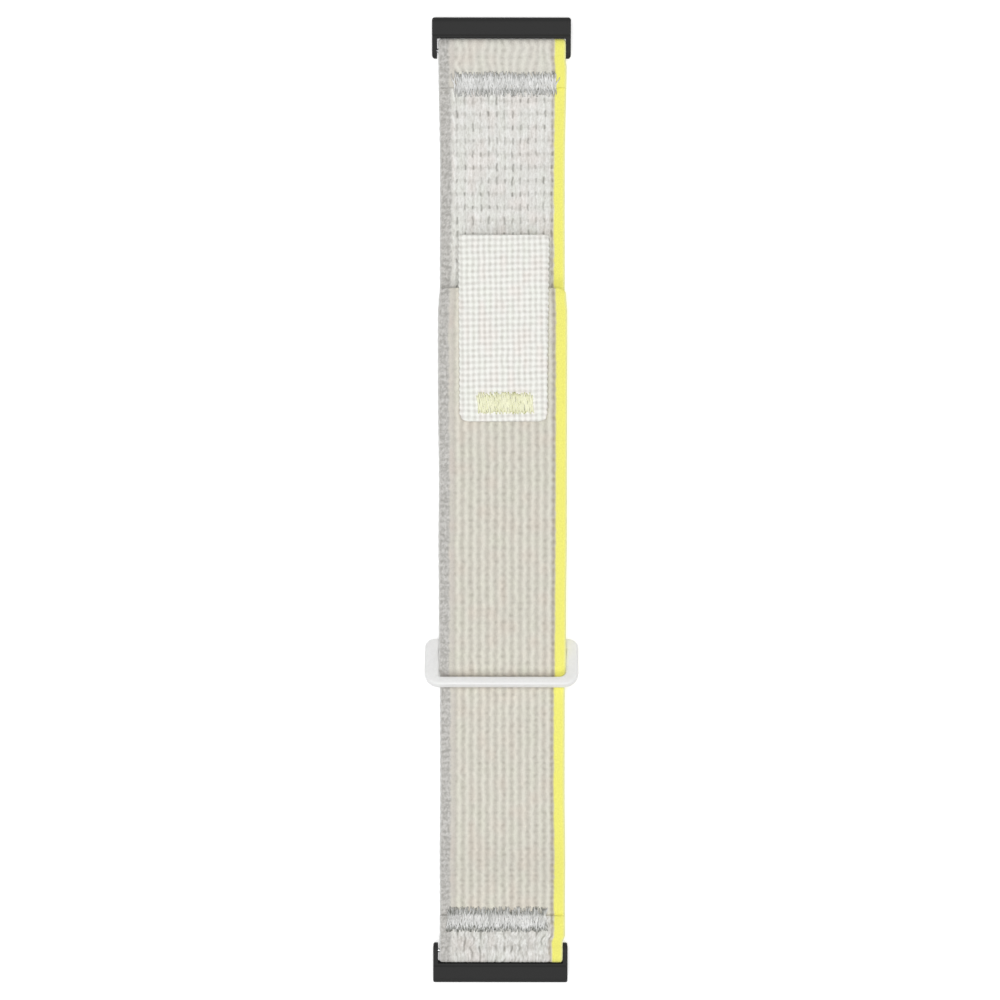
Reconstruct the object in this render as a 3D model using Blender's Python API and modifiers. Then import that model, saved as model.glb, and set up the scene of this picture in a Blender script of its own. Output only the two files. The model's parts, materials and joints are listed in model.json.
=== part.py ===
"""Hook and loop watch strap with a ring, a pull tab and two slide-in end adapters.

Metres. +X runs across the strap, +Y along it towards the upper adapter and +Z away from the wrist.
The strap lies flat on its wrist side, closed through its ring, with its origin under its middle.
"""

import math

import bmesh
import bpy
from mathutils import Matrix, Vector
from mathutils.geometry import interpolate_bezier

# Whole strap
OVERALL_LENGTH = 0.1542
UPPER_STRAP_LENGTH = 0.0939  # from the upper pin's axis to the ring's hidden bar
OVERLAP_LENGTH = 0.05685  # from the ring's hidden bar to the free end
LAYER_GAP = 0.00015  # between pieces that lie on each other
THREAD_THICKNESS = 0.00025
STITCH_RADIUS = 0.0002  # of the thread that passes through the webbing
STITCH_HOLE_RADIUS = 0.00035
CUT_OVERRUN = 0.001  # how far a cutter runs past what it cuts

# Webbing
WEB_WIDTH = 0.0199
WEB_THICKNESS = 0.0010
WEB_CORNER = 0.0008  # corner radius of the free end
FOLD_GAP = 0.0002  # between the two layers of a sewn fold
FLAP_LENGTH = 0.0071  # from the bar's axis to the end of the folded flap
NECK_LENGTH = 0.0030  # over which the loop round a bar narrows to the flat fold
LOOP_CLEARANCE = 0.0001  # between a bar and the webbing round it
SLOPE_OFFSET = 0.0006  # from the lower flap's end to where the strap starts to rise
SLOPE_LENGTH = 0.0130  # over which the lower strap rises to pass over the ring's bar
STRAP_OVER_LOOP = 0.0002  # between the ring's webbing loop and the strap that passes over it
FREE_END_LENGTH = 0.0224  # from the line where the free end peels to its tip
FLEX_GAP = 0.0003  # at a line where webbing bends

# Fold stitching
SEAM_WIDTH = 0.0156
SEAM_DEPTH = 0.0034
SEAM_INSET = 0.00195  # from the flap's end to the middle of the seam
SEAM_CORNER = 0.0005
SEAM_CLEARANCE = 0.0001  # round the threads, which are sunk into the webbing
SEAM_STITCHES = 5  # in each of the seam's two rows
SEAM_ROW_SPACING = 0.0018
SEAM_STITCH_SPACING = 0.0032

# Hook patch
HOOK_WIDTH = 0.0170
HOOK_LENGTH = 0.0142
HOOK_INSET = 0.0010  # from the free end to the patch
HOOK_BACKING = 0.0005
HOOK_TO_PILE = 0.00035  # between the hooks and the upper strap
HOOK_RIBS = 12
HOOK_STEM = 0.00035
HOOK_HEAD = 0.00075
HOOK_HEAD_HEIGHT = 0.0004

# Pull tab
TAB_WIDTH = 0.0140
TAB_LENGTH = 0.0290
TAB_THICKNESS = 0.0006
TAB_FOOT_CORNER = 0.0009
TAB_TIP_CORNER = 0.0006
TACK_WIDTH = 0.0090
TACK_DEPTH = 0.0030
TACK_CORNER = 0.0003
TACK_INSET = 0.01785  # from the free end to the middle of the bar tack
TACK_TO_TAB_END = 0.0028  # from the middle of the bar tack to the tab's sewn end
TACK_TO_TAB_FLEX = 0.00195  # from the middle of the bar tack to the line where the tab bends
TACK_STITCHES = 4
TACK_ROW_SPACING = 0.0014
TACK_STITCH_SPACING = 0.0022

# Ring
RING_THICKNESS = 0.00144
RING_EDGE_RADIUS = 0.00060
RING_WALL = 0.00195
RING_SIDE_CLEARANCE = 0.00035  # between the strap's edge and the ring's wall
RING_SPACING = 0.00675  # between the axes of its two bars
RING_OVER_STRAP = 0.00015  # between the strap and the bar in front of it
RING_FRONT_CORNER = 0.0022
RING_BACK_CORNER = 0.0013
RING_SLOT_CORNER = 0.0007

# Adapter frame
NOTCH_CLEARANCE = 0.00015  # between the webbing's edge and the adapter's arm
ARM_WIDTH = 0.00075
ARM_LOBE_RADIUS = 0.00125
ARM_TIP_CORNER = 0.0005
RAIL_DEPTH = 0.0032
RAIL_THICKNESS = 0.0027
RAIL_NOSE_FLAT = 0.0010
RAIL_CORNER = 0.00045
RAIL_TO_LOOP = 0.0002  # between the rail and the webbing loop
WAIST_THICKNESS = 0.0022
WAIST_OFFSET = 0.00012  # from the notch's floor to the waist
WAIST_TO_SHOULDER = 0.0005  # over which the rail swells from its waist
NOTCH_CORNER = 0.00012

# Spring bar
PIN_RADIUS = 0.00065
PIN_BORE_RADIUS = 0.00045
PIN_END_GAP = 0.0008  # from the end of the tube to the adapter's arm
TIP_GUIDE_RADIUS = 0.00037
TIP_GUIDE_LENGTH = 0.0016
TIP_COLLAR_RADIUS = 0.00058
TIP_COLLAR_GAP = 0.00015  # from the tube's end to the collar
TIP_COLLAR_LENGTH = 0.00035
TIP_PIVOT_RADIUS = 0.00033
TIP_PIVOT_DEPTH = 0.00042  # how far the pivot reaches into the arm
TIP_CHAMFER = 0.00008
PIVOT_HOLE_RADIUS = 0.00043
PIVOT_HOLE_DEPTH = 0.00052
PIN_SPRING_RADIUS = 0.00029  # to the middle of the wire
PIN_SPRING_WIRE = 0.00006  # radius
PIN_SPRING_TURNS = 12
SPRING_END_GAP = 0.0001  # between a spring and what it pushes

# Catch
POCKET_WIDTH = 0.0066
POCKET_DEPTH = 0.0018  # along the strap
POCKET_SKIN = 0.0007  # left over the pocket
PLATE_THICKNESS = 0.0003
PLATE_RECESS = 0.00005
PLATE_CLEARANCE = 0.0001
WINDOW_CLEARANCE = 0.00012
CATCH_WIDTH = 0.0040
CATCH_FLANGE_WIDTH = 0.0058
CATCH_DEPTH = 0.0011  # along the strap
CATCH_FLANGE_THICKNESS = 0.0005
CATCH_PROTRUSION = 0.00035
CATCH_TIP_WIDTH = 0.0030
CATCH_GAP = 0.0001  # between the flange and the retainer plate
CATCH_SPRING_RADIUS = 0.00040  # to the middle of the wire
CATCH_SPRING_WIRE = 0.000075  # radius
CATCH_SPRING_TURNS = 3

# Levels and places that follow from the sizes above
PIN_LOOP_RADIUS = PIN_RADIUS + LOOP_CLEARANCE + WEB_THICKNESS
RING_BAR_RADIUS = RING_THICKNESS / 2
RING_LOOP_RADIUS = RING_BAR_RADIUS + LOOP_CLEARANCE + WEB_THICKNESS
PIN_Z = PIN_LOOP_RADIUS
RING_Z = RING_LOOP_RADIUS
MAIN_LEVEL = PIN_Z - (WEB_THICKNESS + FOLD_GAP) / 2
FLAP_LEVEL = MAIN_LEVEL + WEB_THICKNESS + FOLD_GAP
WRIST_FACE = MAIN_LEVEL - WEB_THICKNESS / 2
FLAP_FACE = FLAP_LEVEL + WEB_THICKNESS / 2
SEAM_POCKET = THREAD_THICKNESS + LAYER_GAP
RAISED_LEVEL = RING_Z + RING_LOOP_RADIUS + STRAP_OVER_LOOP + WEB_THICKNESS / 2
RAISED_TOP = RAISED_LEVEL + WEB_THICKNESS / 2
RAISED_BOTTOM = RAISED_LEVEL - WEB_THICKNESS / 2
NOTCH_FLOOR = PIN_LOOP_RADIUS + RAIL_TO_LOOP  # distances in an adapter are from its pin's axis
NOSE = NOTCH_FLOOR + RAIL_DEPTH
WAIST_Y = NOTCH_FLOOR + WAIST_OFFSET
POCKET_Y = WAIST_Y + WAIST_TO_SHOULDER + PLATE_RECESS + POCKET_DEPTH / 2
NOTCH_WIDTH = WEB_WIDTH + 2 * NOTCH_CLEARANCE
ADAPTER_WIDTH = NOTCH_WIDTH + 2 * ARM_WIDTH
PIN_Y = OVERALL_LENGTH / 2 - NOSE
RING_Y = PIN_Y - UPPER_STRAP_LENGTH
FREE_END_Y = RING_Y + OVERLAP_LENGTH
FLEX_Y = FREE_END_Y - FREE_END_LENGTH
TACK_Y = FREE_END_Y - TACK_INSET
TAB_END_Y = TACK_Y - TACK_TO_TAB_END
TAB_FLEX_Y = TACK_Y + TACK_TO_TAB_FLEX
TAB_BOTTOM = RAISED_TOP + LAYER_GAP
TAB_TOP = TAB_BOTTOM + TAB_THICKNESS
RING_SLOT_WIDTH = WEB_WIDTH + 2 * RING_SIDE_CLEARANCE
RING_WIDTH = RING_SLOT_WIDTH + 2 * RING_WALL
RING_RISE = RAISED_TOP + RING_OVER_STRAP + RING_BAR_RADIUS - RING_Z
RING_TILT = math.asin(RING_RISE / RING_SPACING)

# Frames in which flat outlines are drawn: the outline's x and y, then the way it is extruded
SIDE_VIEW = Matrix(((0, 0, 1, 0), (1, 0, 0, 0), (0, 1, 0, 0), (0, 0, 0, 1)))
END_VIEW = Matrix(((1, 0, 0, 0), (0, 0, -1, 0), (0, 1, 0, 0), (0, 0, 0, 1)))
PLAN_VIEW = Matrix.Identity(4)
ALONG_X = Matrix.Rotation(math.pi / 2, 4, "Y")

WELD_DISTANCE = 0.000001
ROUND_STEPS = 20
STITCH_STEPS = 10
WIRE_STEPS = 8
CORNER_STEPS = 5
LOOP_STEPS = 16
LOOP_LEAN = math.radians(30)  # how far past half a turn the webbing follows its bar, at each side
BLEND_STEPS = 6

# Linear colours from the photograph, with the roughness and the metallic share of each finish
WEBBING = ((0.64, 0.61, 0.55), 0.85, 0.0)
TAB_WEBBING = ((0.86, 0.86, 0.82), 0.8, 0.0)
TACK_THREAD = ((0.88, 0.91, 0.50), 0.6, 0.0)
SEAM_THREAD = ((0.66, 0.67, 0.67), 0.6, 0.0)
HOOK_TAPE = ((0.72, 0.72, 0.68), 0.5, 0.0)
RING_PLASTIC = ((0.80, 0.80, 0.80), 0.35, 0.0)
ADAPTER_COATING = ((0.035, 0.035, 0.036), 0.55, 0.0)
STEEL = ((0.55, 0.56, 0.58), 0.3, 1.0)


def new_collection(name):
    collection = bpy.data.collections.new(name)
    bpy.context.scene.collection.children.link(collection)
    return collection


def finish(obj, look):
    """Gives the object a material of its own."""
    color, roughness, metallic = look
    material = bpy.data.materials.new(obj.name + "_finish")
    material.use_nodes = True
    shader = material.node_tree.nodes["Principled BSDF"]
    shader.inputs["Base Color"].default_value = (*color, 1.0)
    shader.inputs["Roughness"].default_value = roughness
    shader.inputs["Metallic"].default_value = metallic
    obj.data.materials.clear()
    obj.data.materials.append(material)
    return obj


def mesh_object(name, mesh):
    mesh.name = name
    obj = bpy.data.objects.new(name, mesh)
    parts.objects.link(obj)
    return obj


def as_cutter(obj):
    """Moves a helper solid out of the parts, where only Booleans use it."""
    parts.objects.unlink(obj)
    cutters.objects.link(obj)
    obj.hide_render = True
    obj.display_type = "WIRE"
    return obj


def mesh_from_curve(curve, place):
    """The closed mesh of a curve with its caps welded on, moved to its place."""
    guide = bpy.data.objects.new("guide", curve)
    bpy.context.scene.collection.objects.link(guide)
    bpy.context.view_layer.update()
    graph = bpy.context.evaluated_depsgraph_get()
    mesh = bpy.data.meshes.new_from_object(guide.evaluated_get(graph))
    bpy.data.objects.remove(guide, do_unlink=True)
    solid = bmesh.new()
    solid.from_mesh(mesh)
    bmesh.ops.remove_doubles(solid, verts=solid.verts, dist=WELD_DISTANCE)
    bmesh.ops.recalc_face_normals(solid, faces=solid.faces)
    solid.to_mesh(mesh)
    solid.free()
    mesh.transform(place)
    return mesh


def prism(name, outlines, thickness, place, edge_radius=0.0):
    """A solid with flat outlines, the first its edge and the rest its holes, of this thickness."""
    curve = bpy.data.curves.new(name, "CURVE")
    curve.dimensions = "2D"
    curve.fill_mode = "BOTH"
    curve.extrude = thickness / 2 - edge_radius
    curve.bevel_depth = edge_radius
    curve.offset = -edge_radius
    curve.bevel_resolution = 2
    for outline in outlines:
        spline = curve.splines.new("POLY")
        spline.points.add(len(outline) - 1)
        for point, (x, y) in zip(spline.points, outline):
            point.co = (x, y, 0, 1)
        spline.use_cyclic_u = True
    return mesh_object(name, mesh_from_curve(curve, place))


def turned(name, profile, place):
    """A solid turned about Z from (radius, height) points that run down its outer side."""
    mesh = bpy.data.meshes.new(name)
    closed = profile[0][0] > 0
    count = len(profile)
    edges = [(i, (i + 1) % count) for i in range(count if closed else count - 1)]
    mesh.from_pydata([(radius, 0, height) for radius, height in profile], edges, [])
    obj = mesh_object(name, mesh)
    obj.matrix_basis = place
    screw = obj.modifiers.new("turn", "SCREW")
    screw.axis = "Z"
    screw.steps = screw.render_steps = ROUND_STEPS
    screw.use_merge_vertices = True
    screw.merge_threshold = WELD_DISTANCE
    return obj


def wound(name, radius, wire_radius, start, end, turns, place):
    """A compression spring about Z, from one height to another."""
    count = turns * WIRE_STEPS + 1
    curve = bpy.data.curves.new(name, "CURVE")
    curve.dimensions = "3D"
    curve.bevel_depth = wire_radius
    curve.bevel_resolution = 1
    curve.use_fill_caps = True
    spline = curve.splines.new("POLY")
    spline.points.add(count - 1)
    low = start + wire_radius
    high = end - wire_radius
    for index, point in enumerate(spline.points):
        share = index / (count - 1)
        angle = 2 * math.pi * turns * share
        height = low + (high - low) * share
        point.co = (radius * math.cos(angle), radius * math.sin(angle), height, 1)
    return mesh_object(name, mesh_from_curve(curve, place))


def boolean(target, other, operation):
    """Cuts or joins with another solid that was built in the same place and now follows this one."""
    other.parent = target
    modifier = target.modifiers.new(operation.lower() + "_" + other.name, "BOOLEAN")
    modifier.operation = operation
    modifier.solver = "EXACT"
    modifier.object = other


def arc(center, radius, start, end, steps=CORNER_STEPS):
    """Points from one angle to another, in degrees, with both ends."""
    angles = [math.radians(start + (end - start) * i / steps) for i in range(steps + 1)]
    return [(center[0] + radius * math.cos(a), center[1] + radius * math.sin(a)) for a in angles]


def rounded_rectangle(x_low, x_high, y_low, y_high, low_corner, high_corner):
    """A rectangle with one radius at its two low-y corners and one at its two high-y corners."""
    return (
        arc((x_high - low_corner, y_low + low_corner), low_corner, -90, 0)
        + arc((x_high - high_corner, y_high - high_corner), high_corner, 0, 90)
        + arc((x_low + high_corner, y_high - high_corner), high_corner, 90, 180)
        + arc((x_low + low_corner, y_low + low_corner), low_corner, 180, 270)
    )


def plate(name, width, y_low, y_high, z_low, z_high, low_corner, high_corner):
    """A flat piece across the strap with rounded corners."""
    outline = rounded_rectangle(-width / 2, width / 2, y_low, y_high, low_corner, high_corner)
    place = Matrix.Translation((0, 0, (z_low + z_high) / 2))
    return prism(name, [outline], z_high - z_low, place)


def thread_columns(name, y_middle, count, spacing, row_spacing, radius, z_low, z_high):
    """Two rows of upright round columns, as one mesh."""
    solid = bmesh.new()
    for row in (-1, 1):
        for index in range(count):
            x = (index - (count - 1) / 2) * spacing
            place = Matrix.Translation((x, y_middle + row * row_spacing / 2, (z_low + z_high) / 2))
            bmesh.ops.create_cone(
                solid,
                cap_ends=True,
                segments=STITCH_STEPS,
                radius1=radius,
                radius2=radius,
                depth=z_high - z_low,
                matrix=place,
            )
    mesh = bpy.data.meshes.new(name)
    solid.to_mesh(mesh)
    solid.free()
    return as_cutter(mesh_object(name, mesh))


def blend(start, start_way, end, end_way):
    """A smooth run from one point and direction to another, without its first point."""
    reach = (end - start).length / 3
    first = start + start_way.normalized() * reach
    second = end - end_way.normalized() * reach
    return interpolate_bezier(start, first, second, end, BLEND_STEPS + 1)[1:]


def ribbon(path, thickness):
    """The closed outline of a strip of this thickness along its middle line."""
    left = []
    right = []
    for index, point in enumerate(path):
        before = path[max(index - 1, 0)]
        after = path[min(index + 1, len(path) - 1)]
        along = (after - before).normalized()
        side = Vector((-along.y, along.x)) * thickness / 2
        left.append(point + side)
        right.append(point - side)
    return left + right[::-1]


def fold_path(bar_y, bar_z, bar_radius, outward):
    """The middle line of a fold round a bar: in along the flap, round, and out along the strap."""
    bar = Vector((bar_y, bar_z))
    radius = bar_radius + LOOP_CLEARANCE + WEB_THICKNESS / 2
    flap_end = Vector((bar_y - outward * FLAP_LENGTH, FLAP_LEVEL))
    flap_neck = Vector((bar_y - outward * NECK_LENGTH, FLAP_LEVEL))
    main_neck = Vector((bar_y - outward * NECK_LENGTH, MAIN_LEVEL))
    out = Vector((outward, 0))
    round_bar = []
    for i in range(LOOP_STEPS + 1):
        angle = math.pi / 2 + LOOP_LEAN - (math.pi + 2 * LOOP_LEAN) * i / LOOP_STEPS
        round_bar.append(bar + Vector((outward * math.cos(angle), math.sin(angle))) * radius)
    rising = Vector((outward * math.cos(LOOP_LEAN), math.sin(LOOP_LEAN)))
    closing = Vector((-outward * math.cos(LOOP_LEAN), math.sin(LOOP_LEAN)))
    onto_bar = blend(flap_neck, out, round_bar[0], rising)
    off_bar = blend(round_bar[-1], closing, main_neck, -out)
    return [flap_end, flap_neck, *onto_bar, *round_bar[1:], *off_bar]


def seam_middle(bar_y, outward):
    return bar_y - outward * (FLAP_LENGTH - SEAM_INSET)


def seam_plate(name, middle, z_low, z_high, margin=0.0):
    """A seam's outline at these heights, made larger by the margin."""
    reach = SEAM_DEPTH / 2 + margin
    corner = SEAM_CORNER + margin
    width = SEAM_WIDTH + 2 * margin
    return plate(name, width, middle - reach, middle + reach, z_low, z_high, corner, corner)


def seam_columns(name, middle, radius, z_low, z_high):
    return thread_columns(
        name, middle, SEAM_STITCHES, SEAM_STITCH_SPACING, SEAM_ROW_SPACING, radius, z_low, z_high
    )


def pierce_fold(strap, name, bar_y, outward):
    """Cuts the stitch holes of a fold and the shallow beds that its threads sink into."""
    middle = seam_middle(bar_y, outward)
    low = WRIST_FACE - CUT_OVERRUN
    high = FLAP_FACE + CUT_OVERRUN
    wrist_bed = seam_plate(
        name + "_wrist_bed", middle, low, WRIST_FACE + SEAM_POCKET, SEAM_CLEARANCE
    )
    flap_bed = seam_plate(name + "_flap_bed", middle, FLAP_FACE - SEAM_POCKET, high, SEAM_CLEARANCE)
    holes = seam_columns(name, middle, STITCH_HOLE_RADIUS, low, high)
    for cutter in (as_cutter(wrist_bed), as_cutter(flap_bed), holes):
        boolean(strap, cutter, "DIFFERENCE")


def sewn_through(top, bottom, columns):
    """Joins a seam's upper and lower threads by the stitches that pass through the webbing."""
    boolean(top, columns, "UNION")
    boolean(top, as_cutter(bottom), "UNION")
    return top


def fold_stitching(name, bar_y, outward):
    middle = seam_middle(bar_y, outward)
    wrist_thread_top = WRIST_FACE + THREAD_THICKNESS
    flap_thread_bottom = FLAP_FACE - THREAD_THICKNESS
    top = seam_plate(name, middle, flap_thread_bottom, FLAP_FACE)
    bottom = seam_plate(name + "_wrist_side", middle, WRIST_FACE, wrist_thread_top)
    columns = seam_columns(
        name + "_stitches",
        middle,
        STITCH_RADIUS,
        WRIST_FACE + THREAD_THICKNESS / 2,
        FLAP_FACE - THREAD_THICKNESS / 2,
    )
    return finish(sewn_through(top, bottom, columns), SEAM_THREAD)


def upper_strap():
    """Webbing from the upper pin down to the ring, folded back and sewn at both ends."""
    upper_fold = fold_path(PIN_Y, PIN_Z, PIN_RADIUS, 1)
    ring_fold = fold_path(RING_Y, RING_Z, RING_BAR_RADIUS, -1)
    outline = ribbon(upper_fold + ring_fold[::-1], WEB_THICKNESS)
    strap = prism("strap_upper", [outline], WEB_WIDTH, SIDE_VIEW)
    pierce_fold(strap, "upper_fold_holes", PIN_Y, 1)
    pierce_fold(strap, "ring_fold_holes", RING_Y, -1)
    return finish(strap, WEBBING)


def lower_strap():
    """Webbing from the lower pin, up over the ring's hidden bar, to the line where it peels."""
    fold = fold_path(-PIN_Y, PIN_Z, PIN_RADIUS, -1)
    along = Vector((1, 0))
    slope_start = Vector((-PIN_Y + FLAP_LENGTH + SLOPE_OFFSET, MAIN_LEVEL))
    slope_end = Vector((slope_start.x + SLOPE_LENGTH, RAISED_LEVEL))
    rise = [slope_start, *blend(slope_start, along, slope_end, along)]
    strap_end = Vector((FLEX_Y - FLEX_GAP / 2, RAISED_LEVEL))
    outline = ribbon([*fold, *rise, strap_end], WEB_THICKNESS)
    strap = prism("strap_lower", [outline], WEB_WIDTH, SIDE_VIEW)
    pierce_fold(strap, "lower_fold_holes", -PIN_Y, -1)
    return finish(strap, WEBBING)


def tack_columns(name, radius, z_low, z_high):
    return thread_columns(
        name, TACK_Y, TACK_STITCHES, TACK_STITCH_SPACING, TACK_ROW_SPACING, radius, z_low, z_high
    )


def pierce_tack(piece, name):
    """Cuts the holes that the bar tack's stitches pass through."""
    low = RAISED_BOTTOM - CUT_OVERRUN
    high = TAB_TOP + CUT_OVERRUN
    boolean(piece, tack_columns(name, STITCH_HOLE_RADIUS, low, high), "DIFFERENCE")


def free_end():
    """The end of the lower strap that lies on the upper strap and peels off it."""
    low = FLEX_Y + FLEX_GAP / 2
    outline = rounded_rectangle(
        -WEB_WIDTH / 2, WEB_WIDTH / 2, low, FREE_END_Y, FLEX_GAP / 2, WEB_CORNER
    )
    place = Matrix.Translation((0, 0, RAISED_LEVEL))
    strap = prism("strap_free_end", [outline], WEB_THICKNESS, place)
    pierce_tack(strap, "free_end_tack_holes")
    return finish(strap, WEBBING)


def hook_patch():
    """Moulded hook tape under the free end: a backing with rows of headed ribs."""
    top = RAISED_BOTTOM - LAYER_GAP
    bottom = MAIN_LEVEL + WEB_THICKNESS / 2 + HOOK_TO_PILE
    backing = top - HOOK_BACKING
    head = bottom + HOOK_HEAD_HEIGHT
    pitch = (HOOK_WIDTH - HOOK_HEAD) / (HOOK_RIBS - 1)
    outline = [(HOOK_WIDTH / 2, top), (-HOOK_WIDTH / 2, top), (-HOOK_WIDTH / 2, backing)]
    for index in range(HOOK_RIBS):
        x = index * pitch - (HOOK_WIDTH - HOOK_HEAD) / 2
        outline += [
            (x - HOOK_STEM / 2, backing),
            (x - HOOK_STEM / 2, head),
            (x - HOOK_HEAD / 2, head),
            (x - HOOK_STEM / 2, bottom),
            (x + HOOK_STEM / 2, bottom),
            (x + HOOK_HEAD / 2, head),
            (x + HOOK_STEM / 2, head),
            (x + HOOK_STEM / 2, backing),
        ]
    outline.append((HOOK_WIDTH / 2, backing))
    middle = FREE_END_Y - HOOK_INSET - HOOK_LENGTH / 2
    place = Matrix.Translation((0, middle, 0)) @ END_VIEW
    return finish(prism("hook_patch", [outline], HOOK_LENGTH, place), HOOK_TAPE)


def pull_tab_foot():
    """The tab's sewn end, up to the line where the tab bends."""
    foot = plate(
        "pull_tab_foot",
        TAB_WIDTH,
        TAB_END_Y,
        TAB_FLEX_Y - FLEX_GAP / 2,
        TAB_BOTTOM,
        TAB_TOP,
        TAB_FOOT_CORNER,
        FLEX_GAP / 2,
    )
    pierce_tack(foot, "tab_tack_holes")
    return finish(foot, TAB_WEBBING)


def pull_tab():
    """The loose length of the tab, which reaches past the free end."""
    tab = plate(
        "pull_tab",
        TAB_WIDTH,
        TAB_FLEX_Y + FLEX_GAP / 2,
        TAB_END_Y + TAB_LENGTH,
        TAB_BOTTOM,
        TAB_TOP,
        FLEX_GAP / 2,
        TAB_TIP_CORNER,
    )
    return finish(tab, TAB_WEBBING)


def tack_plate(name, z_low, z_high):
    low = TACK_Y - TACK_DEPTH / 2
    high = TACK_Y + TACK_DEPTH / 2
    return plate(name, TACK_WIDTH, low, high, z_low, z_high, TACK_CORNER, TACK_CORNER)


def tab_bartack():
    """The dense bar of stitches that sews the tab to the free end."""
    top_z = TAB_TOP + LAYER_GAP
    bottom_z = RAISED_BOTTOM - LAYER_GAP
    top = tack_plate("tab_bartack", top_z, top_z + THREAD_THICKNESS)
    bottom = tack_plate("tab_bartack_lower_thread", bottom_z - THREAD_THICKNESS, bottom_z)
    columns = tack_columns(
        "tab_bartack_stitches",
        STITCH_RADIUS,
        bottom_z - THREAD_THICKNESS / 2,
        top_z + THREAD_THICKNESS / 2,
    )
    return finish(sewn_through(top, bottom, columns), TACK_THREAD)


def ring():
    """A moulded slot ring, leaning so that its front bar lies over the strap."""
    back = RING_BAR_RADIUS
    front = -RING_SPACING - RING_BAR_RADIUS
    edge = rounded_rectangle(
        -RING_WIDTH / 2, RING_WIDTH / 2, front, back, RING_FRONT_CORNER, RING_BACK_CORNER
    )
    slot = rounded_rectangle(
        -RING_SLOT_WIDTH / 2,
        RING_SLOT_WIDTH / 2,
        front + RING_THICKNESS,
        back - RING_THICKNESS,
        RING_SLOT_CORNER,
        RING_SLOT_CORNER,
    )
    lean = Matrix.Rotation(-RING_TILT, 4, "X")
    place = Matrix.Translation((0, RING_Y, RING_Z)) @ lean
    outlines = [edge, slot[::-1]]
    return finish(prism("ring", outlines, RING_THICKNESS, place, RING_EDGE_RADIUS), RING_PLASTIC)


def swell(start, end, start_height, end_height):
    """Points of a smooth change of height between two places, without the first."""
    points = []
    for i in range(1, BLEND_STEPS + 1):
        share = i / BLEND_STEPS
        eased = share * share * (3 - 2 * share)
        place = start + (end - start) * share
        points.append((place, start_height + (end_height - start_height) * eased))
    return points


def adapter_side():
    """The adapter seen from its side: arm lobe, waist and rail with a rounded nose."""
    waist = WAIST_THICKNESS / 2
    rail = RAIL_THICKNESS / 2
    nose_radius = rail - RAIL_NOSE_FLAT / 2
    upper = [(0, ARM_LOBE_RADIUS)]
    upper += swell(0, WAIST_Y, ARM_LOBE_RADIUS, waist)
    upper += swell(WAIST_Y, WAIST_Y + WAIST_TO_SHOULDER, waist, rail)
    upper += arc((NOSE - nose_radius, rail - nose_radius), nose_radius, 90, 0)
    lobe = arc((0, 0), ARM_LOBE_RADIUS, 270, 90, 2 * CORNER_STEPS)
    lower = [(y, -z) for y, z in reversed(upper)]
    return upper + lower + lobe[1:-1]


def adapter_front():
    """The adapter seen from the front: a rail with two arms and the notch between them."""
    outer = ADAPTER_WIDTH / 2
    inner = NOTCH_WIDTH / 2
    tip = -ARM_LOBE_RADIUS
    right = [(inner, tip)]
    right += arc((outer - ARM_TIP_CORNER, tip + ARM_TIP_CORNER), ARM_TIP_CORNER, -90, 0)
    right += arc((outer - RAIL_CORNER, NOSE - RAIL_CORNER), RAIL_CORNER, 0, 90)
    notch = arc((inner - NOTCH_CORNER, NOTCH_FLOOR - NOTCH_CORNER), NOTCH_CORNER, 90, 0, 2)
    left = [(-x, y) for x, y in reversed(right)]
    return right + left + [(-x, y) for x, y in reversed(notch)] + notch


def pivot_hole(name, way):
    """The blind hole in an arm's inner side that takes one tip of the spring bar."""
    start = NOTCH_WIDTH / 2 - CUT_OVERRUN
    end = NOTCH_WIDTH / 2 + PIVOT_HOLE_DEPTH
    hole = bmesh.new()
    bmesh.ops.create_cone(
        hole,
        cap_ends=True,
        segments=ROUND_STEPS,
        radius1=PIVOT_HOLE_RADIUS,
        radius2=PIVOT_HOLE_RADIUS,
        depth=end - start,
        matrix=Matrix.Translation((way * (start + end) / 2, 0, 0)) @ ALONG_X,
    )
    mesh = bpy.data.meshes.new(name)
    hole.to_mesh(mesh)
    hole.free()
    return mesh_object(name, mesh)


def adapter_frame(name):
    frame = prism(name, [adapter_front()], RAIL_THICKNESS + 2 * CUT_OVERRUN, PLAN_VIEW)
    side = prism(name + "_side", [adapter_side()], ADAPTER_WIDTH + 2 * CUT_OVERRUN, SIDE_VIEW)
    boolean(frame, as_cutter(side), "INTERSECT")
    for side_name, way in (("left", -1), ("right", 1)):
        hole = pivot_hole(f"{name}_{side_name}_hole", way)
        boolean(frame, as_cutter(hole), "DIFFERENCE")
    boolean(frame, as_cutter(catch_pocket(name + "_pocket")), "DIFFERENCE")
    return finish(frame, ADAPTER_COATING)


def box(name, width, depth, z_low, z_high):
    """A block across the rail over the pocket's middle."""
    solid = bmesh.new()
    size = Matrix.Diagonal((width, depth, z_high - z_low, 1))
    middle = Matrix.Translation((0, POCKET_Y, (z_low + z_high) / 2))
    bmesh.ops.create_cube(solid, size=1, matrix=middle @ size)
    mesh = bpy.data.meshes.new(name)
    solid.to_mesh(mesh)
    solid.free()
    return mesh_object(name, mesh)


def catch_pocket(name):
    floor = -RAIL_THICKNESS / 2 - CUT_OVERRUN
    ceiling = RAIL_THICKNESS / 2 - POCKET_SKIN
    return box(name, POCKET_WIDTH, POCKET_DEPTH, floor, ceiling)


def plate_levels():
    low = -RAIL_THICKNESS / 2 + PLATE_RECESS
    return low, low + PLATE_THICKNESS


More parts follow.
